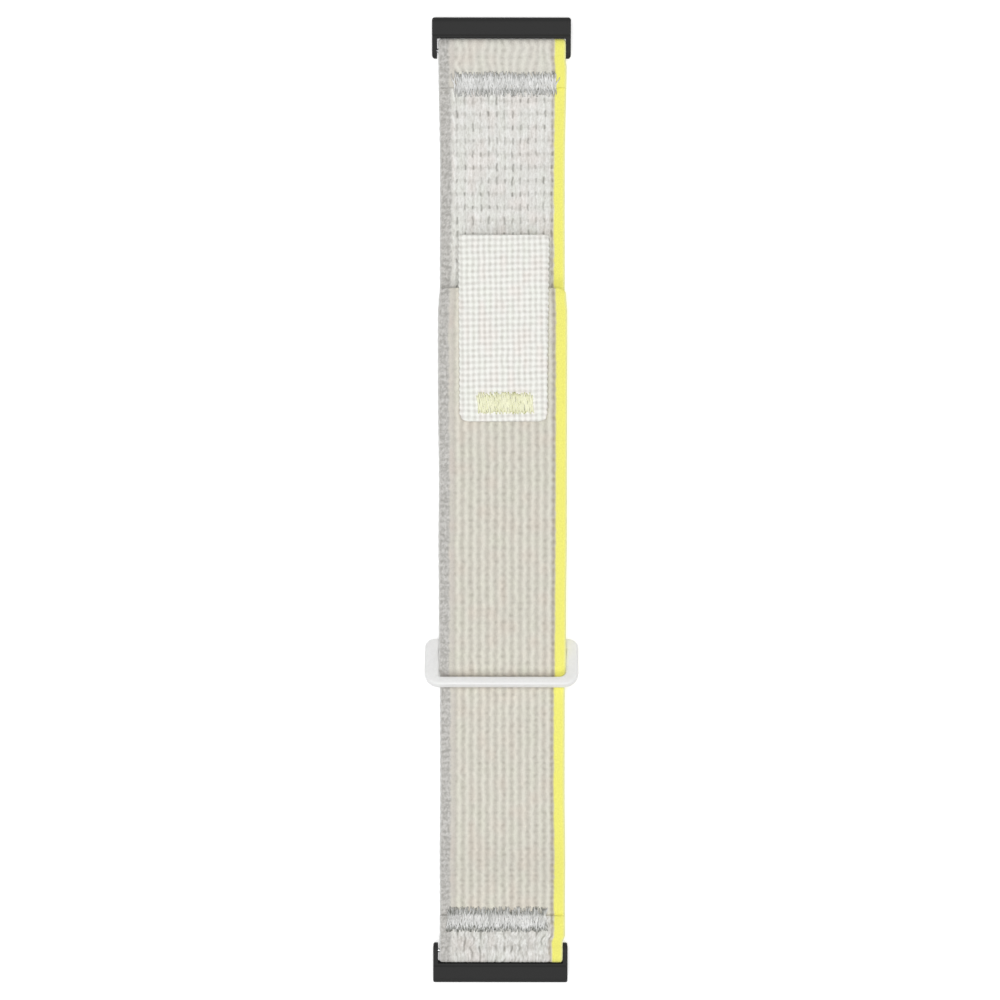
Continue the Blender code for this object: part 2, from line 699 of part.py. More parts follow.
def catch_plate(name):
    """The retainer pressed into the pocket's mouth, with a window for the catch."""
    low, high = plate_levels()
    width = POCKET_WIDTH - 2 * PLATE_CLEARANCE
    depth = POCKET_DEPTH - 2 * PLATE_CLEARANCE
    window_width = CATCH_WIDTH + 2 * WINDOW_CLEARANCE
    window_depth = CATCH_DEPTH + 2 * WINDOW_CLEARANCE
    retainer = box(name, width, depth, low, high)
    window = box(
        name + "_window", window_width, window_depth, low - CUT_OVERRUN, high + CUT_OVERRUN
    )
    boolean(retainer, as_cutter(window), "DIFFERENCE")
    return finish(retainer, STEEL)


def catch_levels():
    """The catch's tip, the underside of its flange and its top."""
    tip = -RAIL_THICKNESS / 2 - CATCH_PROTRUSION
    flange = plate_levels()[1] + CATCH_GAP
    return tip, flange, flange + CATCH_FLANGE_THICKNESS


def catch(name):
    """A T-shaped plunger whose chamfered tip clicks into the watch case."""
    tip, flange, top = catch_levels()
    body = CATCH_WIDTH / 2
    shoulder = tip + CATCH_PROTRUSION
    right = [
        (CATCH_TIP_WIDTH / 2, tip),
        (body, shoulder),
        (body, flange),
        (CATCH_FLANGE_WIDTH / 2, flange),
        (CATCH_FLANGE_WIDTH / 2, top),
    ]
    outline = right + [(-x, z) for x, z in reversed(right)]
    middle = Matrix.Translation((0, POCKET_Y, 0))
    piece = prism(name, [outline], CATCH_DEPTH, middle @ END_VIEW)
    return finish(piece, STEEL)


def catch_spring(name):
    start = catch_levels()[2] + SPRING_END_GAP
    end = RAIL_THICKNESS / 2 - POCKET_SKIN - SPRING_END_GAP
    middle = Matrix.Translation((0, POCKET_Y, 0))
    spring = wound(
        name, CATCH_SPRING_RADIUS, CATCH_SPRING_WIRE, start, end, CATCH_SPRING_TURNS, middle
    )
    return finish(spring, STEEL)


def tube_half_length():
    return NOTCH_WIDTH / 2 - PIN_END_GAP


def pin_tube(name):
    half = tube_half_length()
    profile = [
        (PIN_RADIUS, half),
        (PIN_RADIUS, -half),
        (PIN_BORE_RADIUS, -half),
        (PIN_BORE_RADIUS, half),
    ]
    return finish(turned(name, profile, ALONG_X), STEEL)


def pin_tip(name, way):
    """One end of the spring bar: a guide in the tube, a collar and a pivot in the arm."""
    pivot_end = NOTCH_WIDTH / 2 + TIP_PIVOT_DEPTH
    collar_low = tube_half_length() + TIP_COLLAR_GAP
    collar_high = collar_low + TIP_COLLAR_LENGTH
    guide_end = tube_half_length() - TIP_GUIDE_LENGTH
    profile = [
        (0, pivot_end),
        (TIP_PIVOT_RADIUS - TIP_CHAMFER, pivot_end),
        (TIP_PIVOT_RADIUS, pivot_end - TIP_CHAMFER),
        (TIP_PIVOT_RADIUS, collar_high),
        (TIP_COLLAR_RADIUS, collar_high),
        (TIP_COLLAR_RADIUS, collar_low),
        (TIP_GUIDE_RADIUS, collar_low),
        (TIP_GUIDE_RADIUS, guide_end),
        (0, guide_end),
    ]
    turn = ALONG_X if way > 0 else ALONG_X @ Matrix.Rotation(math.pi, 4, "X")
    return finish(turned(name, profile, turn), STEEL)


def pin_spring(name):
    reach = tube_half_length() - TIP_GUIDE_LENGTH - SPRING_END_GAP
    spring = wound(
        name, PIN_SPRING_RADIUS, PIN_SPRING_WIRE, -reach, reach, PIN_SPRING_TURNS, ALONG_X
    )
    return finish(spring, STEEL)


def axis_empty(name, place):
    empty = bpy.data.objects.new(name, None)
    parts.objects.link(empty)
    empty.matrix_basis = place
    return empty


def attach(pieces, empty):
    """Parents pieces to the empty on their joint's axis, and keeps them where they are."""
    for piece in pieces:
        piece.parent = empty
        piece.matrix_parent_inverse = empty.matrix_basis.inverted()


def adapter(prefix, place):
    """A slide-in adapter with its spring bar and catch, built about its pin's axis."""
    axis = axis_empty(prefix + "_adapter_axis", place)
    swinging = [
        adapter_frame(prefix + "_adapter_frame"),
        pin_tube(prefix + "_pin_tube"),
        pin_tip(prefix + "_pin_tip_left", -1),
        pin_tip(prefix + "_pin_tip_right", 1),
        pin_spring(prefix + "_pin_spring"),
        catch_plate(prefix + "_catch_plate"),
        catch_spring(prefix + "_catch_spring"),
        catch(prefix + "_catch"),
    ]
    for piece in swinging:
        piece.parent = axis


def main():
    upper_strap()
    fold_stitching("upper_fold_stitching", PIN_Y, 1)
    fold_stitching("ring_fold_stitching", RING_Y, -1)
    attach([ring()], axis_empty("ring_axis", Matrix.Translation((0, RING_Y, RING_Z))))

    lower_strap()
    fold_stitching("lower_fold_stitching", -PIN_Y, -1)
    peel_axis = axis_empty("peel_axis", Matrix.Translation((0, FLEX_Y, RAISED_TOP)))
    attach([free_end(), hook_patch(), pull_tab_foot(), tab_bartack()], peel_axis)
    tab_axis = axis_empty("tab_axis", Matrix.Translation((0, TAB_FLEX_Y, TAB_TOP)))
    attach([pull_tab()], tab_axis)

    adapter("upper", Matrix.Translation((0, PIN_Y, PIN_Z)))
    turned_round = Matrix.Rotation(math.pi, 4, "Z")
    adapter("lower", Matrix.Translation((0, -PIN_Y, PIN_Z)) @ turned_round)

    for obj in parts.objects:
        if obj.type == "MESH":
            obj.data.shade_smooth()
            obj.data.set_sharp_from_angle(angle=math.radians(30))


for leftover in list(bpy.data.objects):
    bpy.data.objects.remove(leftover, do_unlink=True)
parts = new_collection("hook_and_loop_watch_strap")
cutters = new_collection("cutters")
main()
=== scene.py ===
"""Looks of the hook and loop watch strap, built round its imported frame.

Lengths in this file are in millimetres, and meshes are scaled to metres when they are made.
"""

import json
import math

import bpy
import numpy as np
from mathutils import Matrix, Vector


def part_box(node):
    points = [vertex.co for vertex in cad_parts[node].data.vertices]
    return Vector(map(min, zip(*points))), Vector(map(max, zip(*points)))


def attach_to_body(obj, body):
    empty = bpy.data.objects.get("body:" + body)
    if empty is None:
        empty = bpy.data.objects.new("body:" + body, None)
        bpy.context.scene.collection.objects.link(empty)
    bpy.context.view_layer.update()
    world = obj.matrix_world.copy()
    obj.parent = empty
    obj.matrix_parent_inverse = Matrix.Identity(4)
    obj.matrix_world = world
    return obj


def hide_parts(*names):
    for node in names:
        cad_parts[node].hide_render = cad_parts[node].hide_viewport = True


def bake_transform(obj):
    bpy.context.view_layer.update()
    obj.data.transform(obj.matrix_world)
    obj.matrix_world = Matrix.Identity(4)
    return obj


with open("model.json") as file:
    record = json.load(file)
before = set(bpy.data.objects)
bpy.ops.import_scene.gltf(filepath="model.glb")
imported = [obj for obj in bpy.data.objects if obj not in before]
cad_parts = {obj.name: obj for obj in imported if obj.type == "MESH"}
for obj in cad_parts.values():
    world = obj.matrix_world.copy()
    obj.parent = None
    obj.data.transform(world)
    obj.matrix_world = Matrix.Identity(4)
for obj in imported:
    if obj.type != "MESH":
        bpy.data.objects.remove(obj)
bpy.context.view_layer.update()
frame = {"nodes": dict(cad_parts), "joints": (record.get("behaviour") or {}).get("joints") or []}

MM = 0.001


def in_millimetres(place):
    return [round(value / MM, 3) for value in place]


def node_box(name):
    """A node's lowest and highest corners."""
    return [in_millimetres(corner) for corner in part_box(name)]


def hinge_place(name):
    """The y and z of a hinge's axis."""
    joint = next(joint for joint in frame["joints"] if joint["name"] == name)
    return in_millimetres(joint["pos_m"])[1:]


# Places and levels of the frame
PIN_Y, PIN_Z = hinge_place("upper_adapter_hinge")
RING_Y, RING_Z = hinge_place("ring_hinge")
FREE_END_LOW, FREE_END_HIGH = node_box("strap_free_end")
FREE_END_Y = FREE_END_HIGH[1]
WEB_THICKNESS = FREE_END_HIGH[2] - FREE_END_LOW[2]
RAISED_LEVEL = (FREE_END_HIGH[2] + FREE_END_LOW[2]) / 2
TAB_LOW, TAB_HIGH = node_box("pull_tab")
HOOKS_LOW, HOOKS_HIGH = node_box("hook_patch")
RING_HALF_WIDTH = node_box("ring")[1][0]

# Path of the webbing
PIN_RADIUS = 0.65
BAR_RADIUS = 0.72
FOLD_GAP = 0.2  # between the two layers of a sewn fold
LOOP_CLEARANCE = 0.1
LOOP_FULLNESS = 1.13  # the webbing stands off the pins towards the adapters' bars
LOOP_POWERS = (0.45, 0.6)  # that square its loops there, along the strap and upwards
LOOP_LEAN = math.radians(30)  # how far past half a turn the webbing follows its bar, at each side
NECK = 3.0  # from the bar's axis to where the loop meets the flat fold
FLAP_FLAT = 0.6  # from there to where the seam starts to press the flap down
FLAP_END = 5.75  # from the bar's axis to the flap's end, under the seam
FLAP_DROP = 0.48  # how far the seam presses that end down
SLOPE_START = -64.25
SLOPE_END = -51.25
FRONT_BAR_Y = -27.5  # of the ring, where it lies on the webbing
BAR_DIP = 0.4  # how far it presses the webbing down
BAR_DIP_REACH = 1.5
PATCH_DROOP = 0.85  # of the free end over the last of its hook patch
PATCH_DROOP_LENGTH = 9.5
END_DROOP = 0.3  # of its very end, past the patch
END_DROOP_REACH = (1.4, 0.2)  # from before its end to past it
MAIN_LEVEL = PIN_Z - (WEB_THICKNESS + FOLD_GAP) / 2
FLAP_LEVEL = MAIN_LEVEL + WEB_THICKNESS + FOLD_GAP
MAIN_TOP = MAIN_LEVEL + WEB_THICKNESS / 2
FLAP_TOP = FLAP_LEVEL + WEB_THICKNESS / 2
WRIST_FACE = MAIN_LEVEL - WEB_THICKNESS / 2

# Section of the webbing
WEB_CORE = 0.86  # thickness between the two faces' mean surfaces
STRIDE = 0.16  # between the stations along the webbing
FACE_POINTS = 180
EDGE_POINTS = 9
SEWN_TAPER = 1.1  # over which the end under a seam loses its thickness
CUT_TAPER = 0.3  # over which the other end does, but for the share below
CUT_SHARE = 0.85
END_CORNER = 1.1
SCALLOP_DEPTH = 0.05  # of the left edge's outline
SCALLOP_ROWS = 0.75  # rows to a scallop
BLEND_HEIGHT = 0.15  # either side of the middle, over which one face turns into the other

# Half widths, middles and row spacings: a first value, then what each stretch from y to y adds to it
UPPER_HALF_WIDTH = (9.87, (-0.05, 38, 48), (0.19, 54, 68), (-0.06, 69.6, 70.6))
UPPER_MIDDLE = (0.18, (-0.07, 69, 70.6))
UPPER_PITCH = (2.08,)
LOWER_RISE = ((0.17, -70.5, -69.3), (-0.17, -61, -45), (0.17, -27.8, -25.6), (0.07, -14, -4))
LOWER_HALF_WIDTH = (9.93, *LOWER_RISE, (-0.17, 31.0, 33.8))
LOWER_MIDDLE = (0.11, (0.21, -70.5, -69.3), (-0.04, -60, -36), (-0.04, 0, 20))
LOWER_PITCH = (2.0, (0.17, -30, -24))
LET_OUT = (5, 7)  # middle and reach of what lies in the ring when the strap is let out
LET_OUT_NARROWING = 0.07
LET_OUT_SHIFT = 0.05
UPPER_ROW_Y = 43.37  # of a row's line
LOWER_ROW_Y = -60.0
UPPER_SWAYS = (0.34, 0.0)  # how far the ribs and the pile's columns wander, in ribs and columns
LOWER_SWAYS = (0.05, 0.18)

# How much the cloth is shaded by what lies close over it
CONTACT_BASE = 0.1
RING_CONTACT = 0.55
RING_PASSES = ((-63, -60), (10, 13))  # ends of the stretch where the ring may pass
OPEN_PILE = ((20, 30), (58, 62))  # ends of the stretch that nothing lies close over
FOLD_CONTACT = (0.2, 0.9)  # past the pin's axis, over which the shade ends

# Shares of the webbing's half width at which its stripes and ribs lie
RIB_FIRST = -0.693
RIB_PITCH = 0.1294
GROOVE_FIRST = -0.725
GROOVE_PITCH = 0.1266
GREY_EDGE = -0.844
PILE_GREY_EDGE = -0.826
MAUVE_EDGE = -0.745
PILE_BORDER = -0.785
PILE_STITCHES = -0.775
YELLOW_EDGE = 0.829
DARK_LINE = 0.794
CRESCENTS = (-0.93, -0.985)
PALE_RIM = (-0.965, -0.995)
YELLOW_RIM = (0.955, 1.0)
SCALLOPS = (-0.93, -1.0)

# Heights of the weave over its mean surface
RIB_FLOOR = -0.09
RIB_HEIGHT = 0.12
RIB_TICK_DEPTH = 0.02
MAUVE_SINK = 0.02
PILE_FLOOR = -0.06
PILE_LOOP_HEIGHT = 0.09
PILE_GAP_DEPTH = 0.05
HAIR_HEIGHT = 0.02
SPECK_HEIGHT = 0.03
YELLOW_HEIGHT = 0.01
DARK_LINE_DEPTH = 0.04

# Random fields: seed, length of a cell, and cells the other way in a millimetre, half width, column or rib
FIELDS = {
    "grey border": (31, 0.5, 12),
    "fine specks": (32, 0.19, 54),
    "broad specks": (33, 0.32, 29),
    "line steps": (35, 0.5, 0),
    "line wander": (34, 0.5, 0),
    "yellow border": (36, 0.7, 0),
    "yellow shade": (37, 1.4, 40),
    "dye": (41, 2.3, 6.1),
    "tick drift": (13, 2.1, 0.8),
    "rib bend": (19, 5.0, 2.7),
    "rib sway": (11, 1.25, 0.55),
    "rib waver": (12, 0.42, 1.9),
    "rib shade": (15, 0.6, 1.3),
    "fine flecks": (17, 0.3, 30),
    "broad flecks": (18, 0.7, 14),
    "column drift": (21, 1.3, 6),
    "column waver": (20, 0.45, 12),
    "column sway": (59, 0.75, 4.3),
    "row bow": (22, 1.0, 9),
    "slits": (60, 0.9, 2.3),
    "splits": (61, 0.7, 3.1),
    "long hairs": (29, 0.5, 66),
    "short hairs": (30, 0.3, 61),
    "tab outline": (51, 1.9, 0),
    "tab columns": (52, 2.3, 1 / 1.7),
    "tab rows": (53, 1.9, 1 / 2.2),
    "fine fray": (55, 0.3, 1 / 0.3),
    "broad fray": (56, 0.5, 2),
    "column depth": (57, 1, 1),
    "row depth": (58, 1, 1),
}
NOISE_SIZE = 128  # values after which a field repeats
CELL_TABLE = (251, 241)

# Seams
SEAM_FIRST = 3.2  # from the bar's axis to the seam's two ends
SEAM_LAST = 7.2
SEAM_RAGGED = (1.0, 1.3)  # how much later and earlier a thread may start and end
SEAM_SLANTS = (-0.75, 0.7, -0.1)
SEAM_SPACING = 0.2
SEAM_STEPS = 18
SEAM_STEP = (4.3, 6.5)  # from the bar's axis, over which the threads come down from the flap
SEAM_LIFT = 0.03
SEAM_LAYER = 0.05
SEAM_ARCH = 0.10
SEAM_DIVE = 0.22  # of a thread's two ends
DIVE_SHARE = 0.05  # of a thread's length
SEAM_WANDER = (0.09, 0.05)
SEAM_WAVES = (7, 13, 11)
SEAM_RIPPLE = 0.035
LOOSE_SLANT = 1.3
LOOSE_REACH = 0.9  # past the seam's left end
SEAM_THREADS = (0.1, 0.095)  # radii on the flap and on the wrist side
WRIST_LIFT = 0.12  # of the ends of the wrist side's threads
WRIST_SINK = 0.02
THREAD_SIDES = 6
THREAD_WAIST = 0.72  # share of its radius that a thread keeps at its ends

# Pull tab
TAB_END_Y = 14.0
TAB_TIP_Y = 43.3
TAB_SHIFT = 0.41
TAB_HALF_WIDTH = 6.93
TAB_FLARE = 0.14  # how much wider each half is towards the tip
TAB_FLARE_PLACES = (15, 42)
TAB_CORNERS = (1.4, 0.6)  # at the sewn end and at the tip
TAB_EDGE_RADIUS = 0.22
TAB_TAPER = 0.3
TAB_STEP = 0.12
TAB_FACE_POINTS = 117
TAB_EDGE_POINTS = 5
TAB_PITCH_X = 0.893
TAB_PITCH_Y = 0.954
TAB_FIRST_X = -0.29  # of a column of dimples
TAB_FIRST_Y = 0.75  # from the tip to a row of them
TAB_LEVEL_Y = 28.75  # where the columns cross that place
TAB_SKEW = (0.0103, 0.035)  # of the columns and of the rows
TAB_SCALLOP = 0.07
TAB_FACE_HEIGHT = 0.04
TAB_DIMPLE_DEPTH = 0.10
TAB_DROOP = 0.95  # of the tab's loose tip below the free end's slope
TAB_DROOP_START = 34.5
TAB_DROOP_POWER = 1.4

# Bar tack
TACK_ENDS = (15.1, 18.7)
TACK_RAGGED = 0.55
TACK_X_ENDS = (-3.5, 5.05)
TACK_LAYERS = ((0.1, 0.27), (0.85, 0.36))  # slant and spacing
TACK_LAYER = 0.04
TACK_ARCH = 0.12
TACK_DIVE = 0.25
TACK_DIVE_SHARE = 0.06
TACK_STEPS = 12
TACK_THREADS = (0.15, 0.13)  # radii on the tab and under the free end
TACK_SINK = 0.1

# Ring
RING_SPACING = 6.75  # between the axes of its two bars
RING_OVER_STRAP = 0.22
RING_CORNERS = (2.3, 1.6, 1.6, 2.3)  # outside, from the front right one on
RING_SHIFT = 0.13
SLOT_HALF_WIDTH = 10.13
SLOT_CORNERS = (1.25, 0.75, 0.75, 0.35)
SLOT_SHIFT = 0.32
RING_SQUARENESS = 0.42  # power that squares its round section
RING_SIDES = 28
RING_TILT = math.asin((FREE_END_HIGH[2] + RING_OVER_STRAP + BAR_RADIUS - RING_Z) / RING_SPACING)

# Hook tape
HOOK_BACKING = 0.5
BACKING_CORNER = 0.6
BACKING_EDGE = 0.1
BACKING_EASE = 0.985  # share of its outline that its faces have
HOOK_RISE = 0.04  # of the hooks' tips over the lowest of the frame's patch
HOOK_TIPS = 1.72  # level that the hooks keep clear of the pile
HOOK_ROWS = 0.62
HOOK_COLUMNS = 0.72
HOOK_INSET = 0.5
HOOK_BEND = 0.2
HOOK_TURN = math.radians(205)
HOOK_STEM_SHARE = 0.45  # of its steps that a hook spends on its stem
HOOK_HEAD = 0.1
HOOK_ROOT = 0.05
HOOK_RADII = (0.13, 0.07)
HOOK_STEPS = 7

# The photograph's frame, its camera and the studio
FRAME_PIXELS = 1000
PIXELS_PER_MM = 6.2553
MIDDLE_COLUMN = 500.9
MIDDLE_ROW = 506.6
CAMERA_DISTANCE = 450
CAMERA_TILT = math.radians(5.75)
CAMERA_ROLL = 0.0012
CAMERA_REACH = (10, 10000)
SENSOR_WIDTH = 36
FLOOR_RADIUS = 330
FLOOR_SIDES = 96
FLOOR_GLOW = (0.22, 0.2)  # for all rays, and more for those that show the background
WORLD_STRENGTH = 0.32
LAMPS = {
    "front": ((0, 70, 700), 2.6, 300),
    "key": ((-120, -420, 620), 0.9, 220),
}
ADAPTER_SOFTNESS = 0.22


def srgb(*values):
    """Linear colour of sRGB values from 0 to 255."""
    share = np.array(values, float) / 255
    return np.where(share <= 0.04045, share / 12.92, ((share + 0.055) / 1.055) ** 2.4)


RIB_CREST = srgb(232, 229, 217)
RIB_GROOVE = srgb(208, 204, 193)
RIB_DOT = srgb(160, 155, 144)
RIB_PALE = srgb(232, 231, 226)
MAUVE = srgb(209, 203, 196)
PILE_BRIGHT = srgb(252, 252, 249)
PILE_MID = srgb(212, 210, 204)
PILE_GAP_SHADE = srgb(140, 138, 132)
GREY_LIGHT = srgb(214, 212, 208)
GREY_DARK = srgb(174, 172, 167)
EDGE_PALE = srgb(240, 240, 238)
CREAM = srgb(216, 212, 204)
YELLOW = srgb(250, 246, 126)
YELLOW_PALE = srgb(255, 255, 185)
STITCH_AND_SHADE_BROWN = srgb(150, 136, 104)
PINK = srgb(255, 245, 243)
GREEN = srgb(249, 255, 247)
SEAM_TONES = (srgb(250, 250, 249), srgb(172, 173, 169))
TACK_TONES = (srgb(255, 255, 226), srgb(216, 217, 165))
TAB_TONES = (srgb(255, 255, 250), srgb(199, 196, 189))
HOOK_WHITE = srgb(222, 221, 214)
RING_WHITE = srgb(247, 247, 246)
COATING_BLACK = srgb(48, 48, 48)
STEEL_GREY = srgb(196, 197, 199)
FLOOR_WHITE = (0.86, 0.86, 0.86, 1)
WHITE = (1, 1, 1, 1)

# Painted shade: the colour that cloth is darkened towards where another piece lies close over it
CONTACT_SHADE_TONE = srgb(142, 128, 122)  # of cloth in the narrow gap under another piece
CONTACT_REACH = 1.2
FLECK_SCALE = 5.0  # flecks to a millimetre
FIBRE_RELIEF = 0.03
GRAIN_RELIEF = 0.01
DULL = {"Specular IOR Level": 0.15}
RING_DEPTH = {
    "Sheen Weight": 0.4,
    "Sheen Roughness": 0.35,
    "Subsurface Weight": 0.35,
    "Subsurface Radius": (1.0, 1.0, 1.0),
    "Subsurface Scale": 0.8 * MM,
}


def smooth(low, high, value):
    """0 below low, 1 above high, smooth between."""
    share = np.clip((value - low) / (high - low), 0, 1)
    return share * share * (3 - 2 * share)


def bump(value, center, width):
    return np.exp(-(((value - center) / width) ** 2))


def dives(t, share):
    """1 at the two ends of a thread, falling off within this share of its length."""
    return bump(t, 0, share) + bump(t, 1, share)


def wave(turns):
    return np.cos(2 * np.pi * turns)


def mix(first, second, share):
    """Blends two colours by an array of shares."""
    return first + (second - first) * share[..., None]


def ramped(y, first, *ramps):
    """A value along the strap that changes by each ramp's amount between the ramp's two places."""
    value = first + 0 * y
    for amount, start, end in ramps:
        value = value + amount * smooth(start, end, y)
    return value


def noise(seed, u, v):
    """Smooth noise from -1 to 1 with one random value for each whole u and v."""
    table = np.random.default_rng(seed).uniform(-1, 1, (NOISE_SIZE, NOISE_SIZE))
    u, v = np.broadcast_arrays(u, v)
    i, j = np.floor(u).astype(int), np.floor(v).astype(int)
    u, v = smooth(0, 1, u - i), smooth(0, 1, v - j)
    i0, j0, i1, j1 = (place % NOISE_SIZE for place in (i, j, i + 1, j + 1))
    low = table[i0, j0] * (1 - u) + table[i1, j0] * u
    high = table[i0, j1] * (1 - u) + table[i1, j1] * u
    return low * (1 - v) + high * v


def field(name, s, across):
    """One of the random fields, from -1 to 1."""
    seed, length, cells = FIELDS[name]
    return noise(seed, s / length, across * cells)


def cell(seed, i, j):
    """A random value from 0 to 1 for each whole pair."""
    table = np.random.default_rng(seed).uniform(0, 1, CELL_TABLE)
    return table[np.asarray(i, int) % CELL_TABLE[0], np.asarray(j, int) % CELL_TABLE[1]]


def speckled_yarn(xi, s, rows):
    """Height and colour of the grey edge, with specks in it and pale crescents along its rim."""
    speck = 0.5 + 0.55 * field("fine specks", s + xi * 2, xi) + 0.3 * field("broad specks", s - xi * 3, xi)
    scallop = 0.5 + 0.5 * wave(rows / SCALLOP_ROWS)
    speck = speck - 0.35 * scallop * smooth(*CRESCENTS, xi) - 0.18 * wave(2 * rows)
    speck = np.clip(speck, 0, 1)
    color = mix(mix(GREY_DARK, GREY_LIGHT, speck), EDGE_PALE, 0.6 * smooth(*PALE_RIM, xi))
    return SPECK_HEIGHT * (speck - 0.7), color


def stripes(xi, s, rows, grey_edge, line_shade, height, color):
    """Lays the speckled grey edge, the yellow edge and the dark line of ticks beside it over a face; that
    line is partly stitches and partly painted shade.
    """
    grey = 1 - smooth(grey_edge - 0.015, grey_edge + 0.035, xi + 0.014 * field("grey border", s, xi))
    speck_height, yarn = speckled_yarn(xi, s, rows)
    color = mix(color, 0, grey) + yarn * grey[..., None]
    height = height * (1 - grey) + speck_height * grey
    step = 0.5 + 0.3 * np.cos(4 * np.pi * rows + 0.8) + 0.3 * wave(rows / SCALLOP_ROWS)
    step = np.clip(step + 0.3 * field("line steps", s, xi), 0, 1)
    line = bump(xi - 0.006 * field("line wander", s, xi), DARK_LINE, 0.026) * (0.35 + 0.65 * step)
    border = xi + 0.006 * field("yellow border", s, xi)
    yellow = smooth(YELLOW_EDGE - 0.022, YELLOW_EDGE + 0.012, border)
    paint = mix(YELLOW, YELLOW_PALE, smooth(*YELLOW_RIM, xi))
    paint = paint * (1 + 0.012 * field("yellow shade", s, xi))[..., None]
    color = mix(color, 0, yellow) + paint * yellow[..., None]
    # the brown line beside the yellow edge: partly stitches, partly painted shade
    color = mix(color, STITCH_AND_SHADE_BROWN, line * line_shade)
    height = height * (1 - yellow) + YELLOW_HEIGHT * yellow - DARK_LINE_DEPTH * line
    return height, color


def tint(color, s, xi):
    """A slight drift of the yarn's dye from place to place."""
    drift = field("dye", s, xi)
    warm = np.clip(drift, 0, 1) * 0.42
    cool = np.clip(-drift, 0, 1) * 0.3
    return color * (1 + mix(np.zeros(3), PINK - 1, warm) + mix(np.zeros(3), GREEN - 1, cool))


def ribbed_face(xi, s, rows, sway):
    """Height and colour of the face with ribs, whose grooves have a dark tick twice in each row."""
    v = (xi - RIB_FIRST) / RIB_PITCH
    tick = 2 * rows + 0.16 * field("tick drift", s, v)
    bend = field("rib bend", s, np.rint(v))
    v = v + sway * field("rib sway", s, v) + 0.05 * np.sin(np.pi * (tick + 2 * bend))
    v = v + 0.05 * field("rib waver", s, v)
    ridge = 0.5 + 0.5 * wave(v)
    near_tick = bump(tick - np.rint(tick), 0, 0.24)
    chance = cell(16, np.rint(tick), np.floor(v)) ** 1.5
    dot = (1 - ridge) ** 2 * near_tick * (0.15 + 0.85 * chance)
    ridge = ridge * (1 - 0.12 * near_tick + 0.14 * field("rib shade", s, v))
    quiet = 1 - smooth(MAUVE_EDGE - 0.03, MAUVE_EDGE + 0.01, xi)
    height = RIB_FLOOR + RIB_HEIGHT * ridge - RIB_TICK_DEPTH * dot
    height = height * (1 - 0.6 * quiet) - MAUVE_SINK * quiet
    color = mix(RIB_GROOVE, RIB_CREST, np.clip(ridge, 0, 1))
    color = mix(color, RIB_PALE, np.full(v.shape, 0.35 * smooth(0.05, 0.17, sway)))
    color = mix(color, RIB_DOT, dot * 0.42)
    color = mix(color, 0, quiet * 0.6) + MAUVE * (quiet * 0.6)[..., None]
    fleck = 1 + 0.03 * field("fine flecks", s, xi) + 0.02 * field("broad flecks", s, xi)
    return stripes(xi, s, rows, GREY_EDGE, 0.5, height, tint(color * fleck[..., None], s, xi))


def pile_loops(column, across, row, along, breaks):
    """Fullness and brightness of the pile's short loops, two side by side in each column and row."""
    body, bright = np.zeros(across.shape), np.zeros(across.shape)
    for index, center in enumerate((0.28, 0.72)):
        key = column * 2 + index
        slant = 0.5 * (cell(24, row, key) - 0.5) * (along - 0.5)
        place = center + 0.16 * (cell(23, row, key) - 0.5) + slant
        reach = 0.10 + 0.2 * cell(25, row, key)
        tied = smooth(0.0, reach, along) * smooth(0.0, reach, 1 - along)
        loop = bump(across, place, 0.14) * (1 - breaks * (1 - tied))
        body = np.maximum(body, loop)
        bright = np.maximum(bright, loop * (0.15 + 0.85 * cell(26, row, key)))
    return body, bright


def pile_gaps(s, v, column, row_line, breaks):
    """Where the pile is painted darker, as shade in the gaps between its columns, at its rows and inside its
    columns.
    """
    across = v - column
    nearest, line = np.rint(v), np.rint(row_line)
    to_row = np.abs(row_line - line)
    dash_end = 0.16 + 0.27 * cell(27, line, nearest) ** 2
    dash = (1 - smooth(0.6, 1.0, to_row / dash_end)) * (0.2 + 0.8 * cell(28, line, nearest))
    slits = (0.15 + 0.8 * smooth(-0.2, 0.8, field("slits", s, nearest))) * (1 - breaks)
    split = bump(across, 0.5, 0.09) * smooth(-0.1, 0.8, field("splits", s, column)) * (1 - breaks)
    gap = bump(v - nearest, 0, 0.12) * np.clip(0.12 + breaks * 0.9 * dash + slits, 0, 1)
    tick = 0.3 * breaks * bump(to_row, 0, 0.07) * bump(across, 0.5, 0.16) * cell(38, line, column)
    return np.clip(gap + tick + 0.5 * split, 0, 1)


